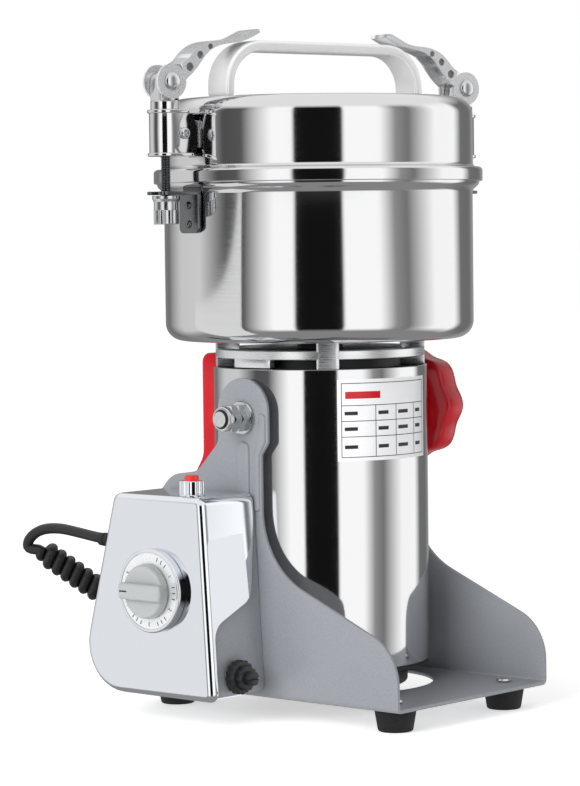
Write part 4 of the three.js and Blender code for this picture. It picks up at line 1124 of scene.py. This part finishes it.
# %% Fuse holder
fuse_x, fuse_z = middle_of("fuse_holder").xz
fuse_tip = span("fuse_holder")[0].y
fuse_wall = fuse_tip + 13
cap = fluted("fuse_cap", 8.7, 0.7, 16, "Y", fuse_wall - 5.6, fuse_wall - 0.3, (fuse_x, fuse_z), 5)
collar = fluted("fuse_collar", 6.5, 0.8, 10, "Y", fuse_wall - 9, fuse_wall - 5, (fuse_x, fuse_z))
stub = fluted("fuse_stub", 3.7, 0.3, 6, "Y", fuse_tip, fuse_wall - 8, (fuse_x, fuse_z))
for turned, width in ((cap, 0.9), (collar, 0.7), (stub, 0.5)):
    round_edges(turned, width, 3, 50)
cut(stub, slab("fuse_slot", box_outline(fuse_x - 5, fuse_x + 5, fuse_z - 0.6, fuse_z + 0.6), "Y",
               fuse_tip - 1, fuse_tip + 1.4))
stem = disc("fuse_stem", 5.6, fuse_wall - 1, fuse_wall + 25, (fuse_x, 0, fuse_z), "+Y")
dress(soften(bind("knurled_fuse_holder", cap, collar, stub, stem)), black_nylon, "black_plastic", "base",
      "fuse_holder")

# %% [markdown]
# ## Strain reliefs
# Where the cord leaves the box and enters the motor, a rubber sleeve is moulded over it. It is thick at
# the housing and thin at its end, so that the cord bends gently, and grooves make it bend evenly.

# %% Strain reliefs
def strain_relief(name, root, length, flange, thick_end, thin_end, centre, way):
    """A grooved cone from a flange; `root` is how deep its plug sits inside the wall."""
    profile = [(0, -root), (thick_end - 0.6, -root), (thick_end - 0.6, 0), (flange - 0.5, 0), (flange, 0.5),
               (flange, 2.2), (flange - 0.6, 2.8), (thick_end, 2.8)]
    grooves = 5
    for i in range(grooves):
        start = 4 + i * (length - 6) / grooves
        r = thick_end + (thin_end - thick_end) * start / length
        profile += [(r, start), (r - 0.7, start + 0.6), (r - 0.75, start + 1.4), (r - 0.2, start + 2.0)]
    profile += [(thin_end, length - 0.4), (thin_end - 0.4, length), (0, length)]
    return spun(name, profile, centre, way, 40)


gland_x, gland_z = middle_of("cord_gland_box").xz
gland_end = span("cord_gland_box")[1].y
box_relief = strain_relief("box_strain_relief", 10, 24, 6.6, 5.2, 3.3, (gland_x, gland_end - 5, gland_z), "+Y")
dress(box_relief, black_rubber, "black_rubber", "base", "cord_gland_box")
motor_gland = middle_of("cord_gland_motor").xy
gland_bottom = span("cord_gland_motor")[0].z
motor_relief = strain_relief("motor_strain_relief", 11, 21, 5.4, 4.8, 3.3,
                             (*motor_gland, gland_bottom + 8.3), "-Z")
dress(motor_relief, black_rubber, "black_rubber", "motor", "cord_gland_motor")

# %% [markdown]
# ## Trunnions, locknut and clamp knob
# The barrel hangs on two M8 studs. On the left a flange nut and a nylon locknut hold it; on the right a
# red clamp knob locks the tilt. A real nut is a hexagon whose corners are turned off by a shallow cone,
# so each nut is a hexagonal bar with everything outside that cone cut away.

# %% Locknut
def hex_nut(name, across_flats, start, end, chamfer=1.0):
    """A hexagon with chamfered ends, along the trunnion's line."""
    flat = across_flats / 2 - 0.1
    corner = across_flats / math.sqrt(3)
    hexagon = [(corner * math.cos(a), trunnion + corner * math.sin(a)) for a in
               (math.radians(60 * i) for i in range(6))]
    nut = slab(name, hexagon, "X", start, end)
    corner += 0.05
    past = 0.3                   # the cone goes on past the nut's ends, so that no two faces coincide
    tip = flat - (corner - flat) * past / chamfer
    cone = spun("cone", [(0, start - past), (tip, start - past), (corner, start + chamfer),
                         (corner, end - chamfer), (tip, end + past), (0, end + past)], stud_at, "+X", 48)
    return soften(combine(nut, cone, "INTERSECT"), 25)


stud_at = (0, 0, trunnion)
nut_near = -wall_outer - 0.3
flange = disc("nut_flange", 8.5, nut_near - 1.6, nut_near, stud_at, "+X", 0.5)
first_nut = hex_nut("first_nut", 13, nut_near - 7.4, nut_near - 1.4)
second_nut = hex_nut("second_nut", 13, nut_near - 12.7, nut_near - 7.2)
nut_collar = spun("nut_collar", [
    (4.3, -12.2), (6.5, -12.2), (6.5, -13), *arc(5.2, -14.2, 1.3, 0, -90, 5), (4.3, -15.5)],
    (nut_near, 0, trunnion), "+X", 48)
dress(bind("locknut_pair", flange, first_nut, second_nut, nut_collar), zinc_plate, "zinc_steel", "base",
      "locknut_left")
nylon_ring = spun("nylon_ring", [(3.9, -15.2), (5.0, -15.2), (5.0, -15.55), (3.9, -15.55)],
                  (nut_near, 0, trunnion), "+X", 48)
dress(nylon_ring, black_nylon, "black_plastic", "base")

# %% [markdown]
# The clamp knob is moulded phenolic with eight soft lobes. Its outline is pulled up in short steps and
# shrunk a little at each one, which rounds its rim the way the mould's polished cavity does.

# %% Clamp knob
clamp_low, clamp_high = span("clamp_knob")
clamp_radius = (clamp_high.z - clamp_low.z) / 2
clamp_hub = clamp_low.x
lobes = 8
lobe_depth = 2.4
rim_points = 96
rim_x = clamp_hub + 8
lobed_rim = []
for i in range(rim_points):
    a = i * math.tau / rim_points
    reach = clamp_radius - lobe_depth * (1 - math.cos(lobes * a)) / 2
    lobed_rim.append((rim_x, reach * math.cos(a), trunnion + reach * math.sin(a)))
# Each step outwards, and how much the outline grows or shrinks there.
clamp_steps = [(0.5, 1.03), (0.9, 1.025), (1.4, 1.018), (8.2, 1.0), (1.6, 0.985), (1.4, 0.968), (1.0, 0.95),
               (0.6, 0.92), (0.3, 0.85)]
clamp_knob = trace("moulded_clamp_knob", [spot(*p) for p in lobed_rim])
bpy.ops.mesh.edge_face_add()
bpy.ops.transform.resize(value=(1, 0.93, 0.93), center_override=spot(rim_x, 0, trunnion))
reached = rim_x
for move, shrink in clamp_steps:
    bpy.ops.mesh.extrude_region_move(TRANSFORM_OT_translate={"value": (mm(move), 0, 0)})
    reached += move
    bpy.ops.transform.resize(value=(1, shrink, shrink), center_override=spot(reached, 0, trunnion))
bpy.ops.mesh.inset(thickness=mm(5), depth=-mm(0.5))
bpy.ops.mesh.inset(thickness=mm(5), depth=-mm(0.35))
close_up()
soften(clamp_knob, 50)
clamp_boss = spun("clamp_boss", [(4.4, 0), (11.5, 0), (12, 0.5), (12, 9), (4.4, 9)],
                  (clamp_hub, 0, trunnion), "+X", 48)
cut(clamp_knob, disc("clamp_bore", 4.4, -2, 14, (clamp_hub, 0, trunnion), "+X"))
clamp_knob = bind("moulded_clamp_knob", soften(clamp_knob, 50), clamp_boss)
dress(clamp_knob, red_phenolic, "red_phenolic", "clamp_knob", "clamp_knob")

# %% Rear grip
grip_low, grip_high = span("rear_grip")
grip_half = grip_high.x
grip_outer = barrel_radius + 15
grip_outline = rounded([
    (20, grip_high.z), (20, grip_low.z), (grip_outer + 11.5, grip_low.z, 2),
    (grip_outer + 13.5, grip_low.z + 5, 3),
    (grip_outer, grip_low.z + 26, 12), (grip_outer, grip_high.z, 5)], 8)
rear_grip = slab("moulded_rear_grip", grip_outline, "X", -grip_half, grip_half)
cut(rear_grip, spun("barrel_tool", [(0, grip_low.z - 5), (barrel_radius + 0.3, grip_low.z - 5),
                                    (barrel_radius + 0.3, grip_high.z + 5), (0, grip_high.z + 5)], steps=128))
round_edges(rear_grip, 2.0, 5, 50)
cut(rear_grip, slab("wire_channel", box_outline(-8, 8, barrel_radius - 5, grip_outer - 3, 2), "Z",
                    grip_low.z - 2, grip_high.z - 12))
dress(soften(rear_grip), red_phenolic, "red_phenolic", "motor", "rear_grip")

# %% [markdown]
# ## The latches
# Two pull latches hold the lid down. A lever turns on a pin in the sleeve's head and draws a threaded
# rod, whose fluted nut hooks under a fork on the bowl. Everything is modelled once on the right, along
# +X, and turned about the bowl's axis into its two places.

# %% Latch dimensions
rod_at = band_radius + 10.8
pivot_x = rod_at - 6
pivot_z = band_top + 17.2
sleeve_low, sleeve_high = band_top + 7.5, band_top + 27.2
pin_z = band_top + 42.9
fork_low = band_bottom - 6.1
fork_top = fork_low + 1.7
sleeve_radius = 8.0


def phillips_screw(name, centre, way, radius=3.0, height=1.7):
    """A pan head with a cross cut in it."""
    head = spun(name, [(0, 0), (radius, 0), (radius, height * 0.35), (radius * 0.86, height * 0.75),
                       (radius * 0.55, height), (0, height)], centre, way, 32)
    out, along = (Vector(v) for v in lathes[way])
    across = along.cross(out)
    top = Vector(centre) + along * height
    for a, b in ((out, across), (across, out)):
        corners = [top + a * s * radius * 0.6 + b * t * 0.35 for s, t in ((-1, -1), (1, -1), (1, 1), (-1, 1))]
        blade = trace("blade", [spot(*(corner - along * 0.9)) for corner in corners])
        bpy.ops.mesh.edge_face_add()
        bpy.ops.mesh.extrude_region_move(TRANSFORM_OT_translate={"value": along * mm(2)})
        close_up()
        cut(head, blade)
    return soften(head)


latch_pieces = []


def keep(piece, material, slot_name, body, *nodes):
    """Remembers a latch piece until it is turned into its two places."""
    latch_pieces.append((piece, material, slot_name, body, nodes))


# %% Catch on the bowl
catch_face = bowl_radius + 0.25
catch_low = fork_top - 21
plate = slab("catch_plate", rounded([
    (-8, catch_low, 3), (8, catch_low, 3), (8, fork_top, 1.6), (-8, fork_top, 1.6)]),
    "X", catch_face, catch_face + 2.2)
fork = slab("catch_fork", rounded([
    (catch_face, -8, 0.2), (rod_at + 7.3, -8, 3), (rod_at + 7.3, -3.1, 1), (rod_at - 1, -3.1, 2.9),
    (rod_at - 3.1, 0), (rod_at - 1, 3.1, 2.9), (rod_at + 7.3, 3.1, 1), (rod_at + 7.3, 8, 3),
    (catch_face, 8, 0.2)], 8), "Z", fork_low, fork_top)
catch = round_edges(melt(plate, fork), 0.5, 3, 40)
rivets = [spun("rivet", [(0, 2.0), (2.0, 2.0), (2.0, 2.5), (1.5, 3.2), (0.7, 3.5), (0, 3.6)],
               (catch_face, 0, fork_top - drop), "+X", 24) for drop in (7, 16.5)]
keep(bind("latch_catch", catch, *rivets), oiled_sheet, "stamped_steel", "motor", "latch_catch")

# %% Mount on the lid
tongue = slab("tongue", rounded([
    (lid_radius - 1, pivot_z - 7), (lid_radius + 2.4, pivot_z - 7, 1), (pivot_x + 2.6, pivot_z - 2.8, 2),
    (pivot_x + 2.6, pivot_z + 2.8, 2), (lid_radius + 2.4, pivot_z + 6.5, 1), (lid_radius - 1, pivot_z + 6.5)]),
    "Y", -6.2, 6.2)
cut(tongue, spun("lid_tool", [(0, pivot_z - 10), (lid_radius + 0.15, pivot_z - 10),
                              (lid_radius + 0.15, pivot_z + 10), (0, pivot_z + 10)], steps=160))
round_edges(tongue, 0.4, 2, 40)
both_sides = ((-1, "-Y"), (1, "+Y"))
screws = [phillips_screw("pivot_screw", (pivot_x, side * 8.05, pivot_z), way) for side, way in both_sides]
shaft = disc("pivot_shaft", 2, -8.4, 8.4, (pivot_x, 0, pivot_z), "+Y")
keep(bind("latch_mount", tongue, shaft, *screws), zinc_plate, "zinc_steel", "motor", "latch_mount")

# %% Sleeve
sleeve_back = rod_at - 14.0
skin = 1.5
bore = sleeve_radius - skin
wrap = slab("wrap", [
    (sleeve_back, -sleeve_radius), *arc(rod_at, 0, sleeve_radius, -90, 90, 24), (sleeve_back, sleeve_radius),
    (sleeve_back, bore), *arc(rod_at, 0, bore, 90, -90, 24), (sleeve_back, -bore)],
    "Z", sleeve_low, sleeve_high)
# The cheeks lean away from the lid at the top, where they come closest to it as the latch swings out.
swing_room = rounded([
    (sleeve_back - 3, sleeve_low - 3), (sleeve_back + 3, sleeve_low - 3), (sleeve_back, sleeve_low + 2, 2),
    (sleeve_back, pivot_z + 2.5, 4), (sleeve_back + 2.8, sleeve_high, 0.5),
    (sleeve_back + 2.8, sleeve_high + 3), (sleeve_back - 3, sleeve_high + 3)])
cut(wrap, slab("swing_room", swing_room, "Y", -12, 12))
round_edges(wrap, 0.35, 2, 40)
end_plates = []
for low, back in ((sleeve_low - 1.8, rod_at - 13.2), (sleeve_high, rod_at - 11.0)):
    end_plate = slab("end_plate", rounded([
        (back, -8.3, 3), (rod_at + 8.4, -8.3, 7), (rod_at + 8.4, 8.3, 7), (back, 8.3, 3)], 8),
        "Z", low, low + 1.8)
    cut(end_plate, disc("rod_hole", 2.9, low - 2, low + 4, (rod_at, 0, 0), "+Z", steps=24))
    end_plates.append(round_edges(end_plate, 0.5, 3, 40))
collar_low, collar_high = sleeve_high + 1.8, band_top + 33.5
sleeve_collar = spun("sleeve_collar", [
    (2.9, collar_low), (6.9, collar_low), (7.2, collar_low + 0.3), (7.2, collar_high - 0.6),
    (6.6, collar_high), (2.9, collar_high)], (rod_at, 0, 0), steps=48)
head_block = slab("head_block", rounded([
    (rod_at - 5.5, collar_high - 0.3), (rod_at + 5.5, collar_high - 0.3), (rod_at + 5.5, pin_z + 5, 5),
    (rod_at - 5.5, pin_z + 5, 5)], 8), "Y", -4.8, 4.8)
cut(head_block, disc("pin_hole", 2.3, -6, 6, (rod_at, 0, pin_z), "+Y", steps=24),
    disc("rod_room", 2.9, collar_high - 2, pin_z - 6, (rod_at, 0, 0), "+Z", steps=24))
round_edges(head_block, 0.4, 2, 40)
keep(bind("latch_sleeve", wrap, *end_plates, sleeve_collar, head_block), polished_steel, "polished_steel",
     "sleeve", "latch_sleeve")

# %% [markdown]
# The rod's thread has a pitch of 0.8 mm. Rings of that pitch look the same as a helix at this size and
# keep the rod closed and light, so they are turned in one profile.

# %% Threaded rod and fluted nut
nut_height = 14.4
rod_low, rod_high = fork_low - nut_height + 1.5, pin_z - 6.6
thread_pitch = 0.8
thread = [(0, rod_low), (1.9, rod_low)]
for i in range(int((rod_high - rod_low) / thread_pitch)):
    z = rod_low + i * thread_pitch
    thread += [(1.9, z + 0.1), (2.5, z + 0.42), (2.5, z + 0.54)]
thread += [(1.9, rod_high), (0, rod_high)]
keep(spun("latch_rod", thread, (rod_at, 0, 0), steps=20), thread_steel, "stamped_steel", "rod", "latch_rod")

nut_top = fork_low - 0.3
nut_low = nut_top - nut_height
nut_body = fluted("nut_body", 6.4, 0.5, 14, "Z", nut_low, nut_top - 7, (rod_at, 0), 5)
round_edges(nut_body, 0.5, 3, 50)
nut_neck = spun("nut_neck", [
    (2.8, nut_top - 7.2), (6.2, nut_top - 7.2), (6.2, nut_top - 3.6),
    *arc(9.3, nut_top - 3.9, 3.1, 180, 140, 5), (7.0, nut_top - 1.2), (7.0, nut_top - 0.3),
    (6.7, nut_top), (2.8, nut_top)],
    (rod_at, 0, 0), steps=56)
cut(nut_body, disc("nut_bore", 2.8, nut_low - 2, nut_top, (rod_at, 0, 0), "+Z", steps=24))
keep(bind("latch_nut", soften(nut_body), nut_neck), zinc_plate, "zinc_steel", "nut", "latch_nut")

# %% [markdown]
# The lever is pressed from one strip: a web along the top, and a cheek down each side that ends in a
# round ear. Its outline is a freehand curve, so a few points are joined by a smooth line. The channel
# underneath and three shallow holes in each cheek are cut out of the solid form. Each hole has a dark
# disc for its floor, which is painted shade for the shadow inside the hole.

# %% Lever
cheek_inner, cheek_outer, ear_radius = 5.2, 6.75, 8.6
lever_top = [(5.2, 8.6), (9.4, 10.8), (12.8, 14.3), (16.6, 17.4), (21.3, 19.7), (27, 21), (34.6, 21.6),
             (40.3, 22.6), (46, 25), (51, 27.2), (54.3, 27.4)]
lever_under = [(54.6, 25.6), (52.5, 24.6), (48, 22.6), (43, 20.9), (37.5, 20), (30.7, 18.9), (25, 16.8),
               (21.2, 13.9), (18.3, 10.6), (15.9, 7.7), (12.6, 4.4), (8.8, 1.3)]
lever_holes = [(11, 7.4, 2.2), (17.4, 13.6, 1.9), (23.8, 17.8, 1.5)]      # the last value is the radius
hole_depth = 1.1


def fair(points, steps=4):
    return [tuple(p[:2]) for p in smooth_line([Vector((*point, 0)) for point in points], steps)]


def from_pin(points):
    """Lever points run inwards and upwards from the pin."""
    return [(rod_at - u, pin_z + v) for u, v in points]


lever = slab("latch_lever", from_pin(fair(lever_top) + fair(lever_under)), "Y", -cheek_outer, cheek_outer)
melt(lever, disc("ear", ear_radius, -cheek_outer, cheek_outer, (rod_at, 0, pin_z), "+Y", 0.01, 64))
hollow_top = [(u + 0.7, v - 1.7) for u, v in fair(lever_top) if 9 < u < 41]
hollow = hollow_top + [(40, 12), (30, -12), (-14, -14), (-14, 13), (4, 13), (5.5, 7.2)]
cut(lever, slab("channel", from_pin(hollow), "Y", -cheek_inner, cheek_inner),
    disc("pin_bore", 2.3, -9, 9, (rod_at, 0, pin_z), "+Y", steps=32),
    *(disc("hole", r, side * cheek_outer - hole_depth, side * cheek_outer + hole_depth,
           (rod_at - u, 0, pin_z + v), "+Y", 0.01, 24) for u, v, r in lever_holes for side in (-1, 1)))
round_edges(lever, 0.4, 2, 42)
keep(lever, tumbled_steel, "stamped_steel", "lever", "latch_lever")
# Painted shade: a dark steel disc lies on the floor of each shallow hole and stands for the shadow inside it.
floor_at = cheek_outer - hole_depth
shade_discs = [disc("hole_floor", r - 0.05, side * floor_at - 0.15, side * floor_at + 0.15,
               (rod_at - u, 0, pin_z + v), "+Y", 0.01, 24) for u, v, r in lever_holes for side in (-1, 1)]
keep(bind("lever_hole_floors", *shade_discs), thread_steel, "stamped_steel", "lever")

# %% Lever pin
pin_face = cheek_outer + 0.3
domes = [spun("dome", [(0, 0), (4.4, 0), (4.5, 0.25), (4.2, 0.75), (3.3, 1.25), (2.0, 1.6), (0, 1.75)],
              (rod_at, side * pin_face, pin_z), way, 40) for side, way in both_sides]
pin_shank = disc("pin_shank", 2, -pin_face - 0.2, pin_face + 0.2, (rod_at, 0, pin_z), "+Y")
keep(bind("latch_pin", pin_shank, *domes), zinc_plate, "zinc_steel", "sleeve", "latch_pin")

# %% Turn the latch into its two places
for side, turn in (("right", latch_turn), ("left", latch_turn + 180)):
    for pattern, material, slot_name, body, nodes in latch_pieces:
        piece = duplicate(pattern, f"{pattern.name}_piece_{side}", turn_about((0, 0, 0), turn))
        rides_on = body if body == "motor" else f"{body}_{side}"
        dress(piece, material, slot_name, rides_on, *(f"{node}_{side}" for node in nodes))
for pattern, *_ in latch_pieces:
    bpy.data.objects.remove(pattern)
print("latches done")

# %% [markdown]
# ## The rating plate
# A printed film is stuck on the barrel's front right. It has to follow the curve, so it is built as a
# thin strip of the cylinder. The grid is the same strip again, narrower and a hair prouder. The words
# are left out, and short plain bars stand where they would be.

# %% Rating plate
def on_barrel(name, left, right_angle, low, high, lift, thickness=0.08):
    """A curved patch between two angles, in degrees round the barrel."""
    radius = barrel_radius + lift
    steps = max(2, int(abs(right_angle - left) / 2))
    return slab(name, [*arc(0, 0, radius + thickness, left, right_angle, steps),
                       *arc(0, 0, radius, right_angle, left, steps)], "Z", low, high)


label_left, label_right = -130.5, -68.0
label_low, label_high = 131.0, 172.3
label = on_barrel("rating_plate", label_left, label_right, label_low, label_high, 0.03)
dress(soften(label), label_film, "white_silicone", "motor")
frame_low, frame_high = label_low + 2.0, label_high - 2.0
frame_left, frame_right = label_left + 2.2, label_right - 2.2
ink_lift, line = 0.14, 0.35
line_angle = math.degrees(line / barrel_radius)
rows = [frame_high - 11.2 - i * 7.9 for i in range(4)]
columns = [frame_left + share * (frame_right - frame_left) for share in (0.33, 0.56, 0.82)]


def print_on(left, right_angle, low, high, name="line"):
    return on_barrel(name, left, right_angle, low, high, ink_lift, 0.03)


prints = [print_on(frame_left, frame_right, z - line / 2, z + line / 2)
          for z in (frame_low, *rows[:3], frame_high)]
prints += [print_on(a - line_angle / 2, a + line_angle / 2, frame_low, top)
           for a, top in [(a, frame_high) for a in (frame_left, frame_right)] + [(a, rows[0]) for a in columns]]
row_middles = [(frame_low + rows[2]) / 2, (rows[2] + rows[1]) / 2, (rows[1] + rows[0]) / 2]
starts = [frame_left, *columns]
for z in row_middles:
    for start, share in zip(starts, (0.55, 0.5, 0.6, 0.4)):
        prints.append(print_on(start + 1.6, start + 1.6 + 13 * share, z - 0.9, z + 0.9))
dress(bind("rating_plate_print", *prints), printing_ink, "black_plastic", "motor")
heading = print_on(frame_left + 2, frame_left + 22, rows[0] + 3.4, rows[0] + 7.0, "rating_plate_heading")
dress(heading, red_phenolic, "red_phenolic", "motor")
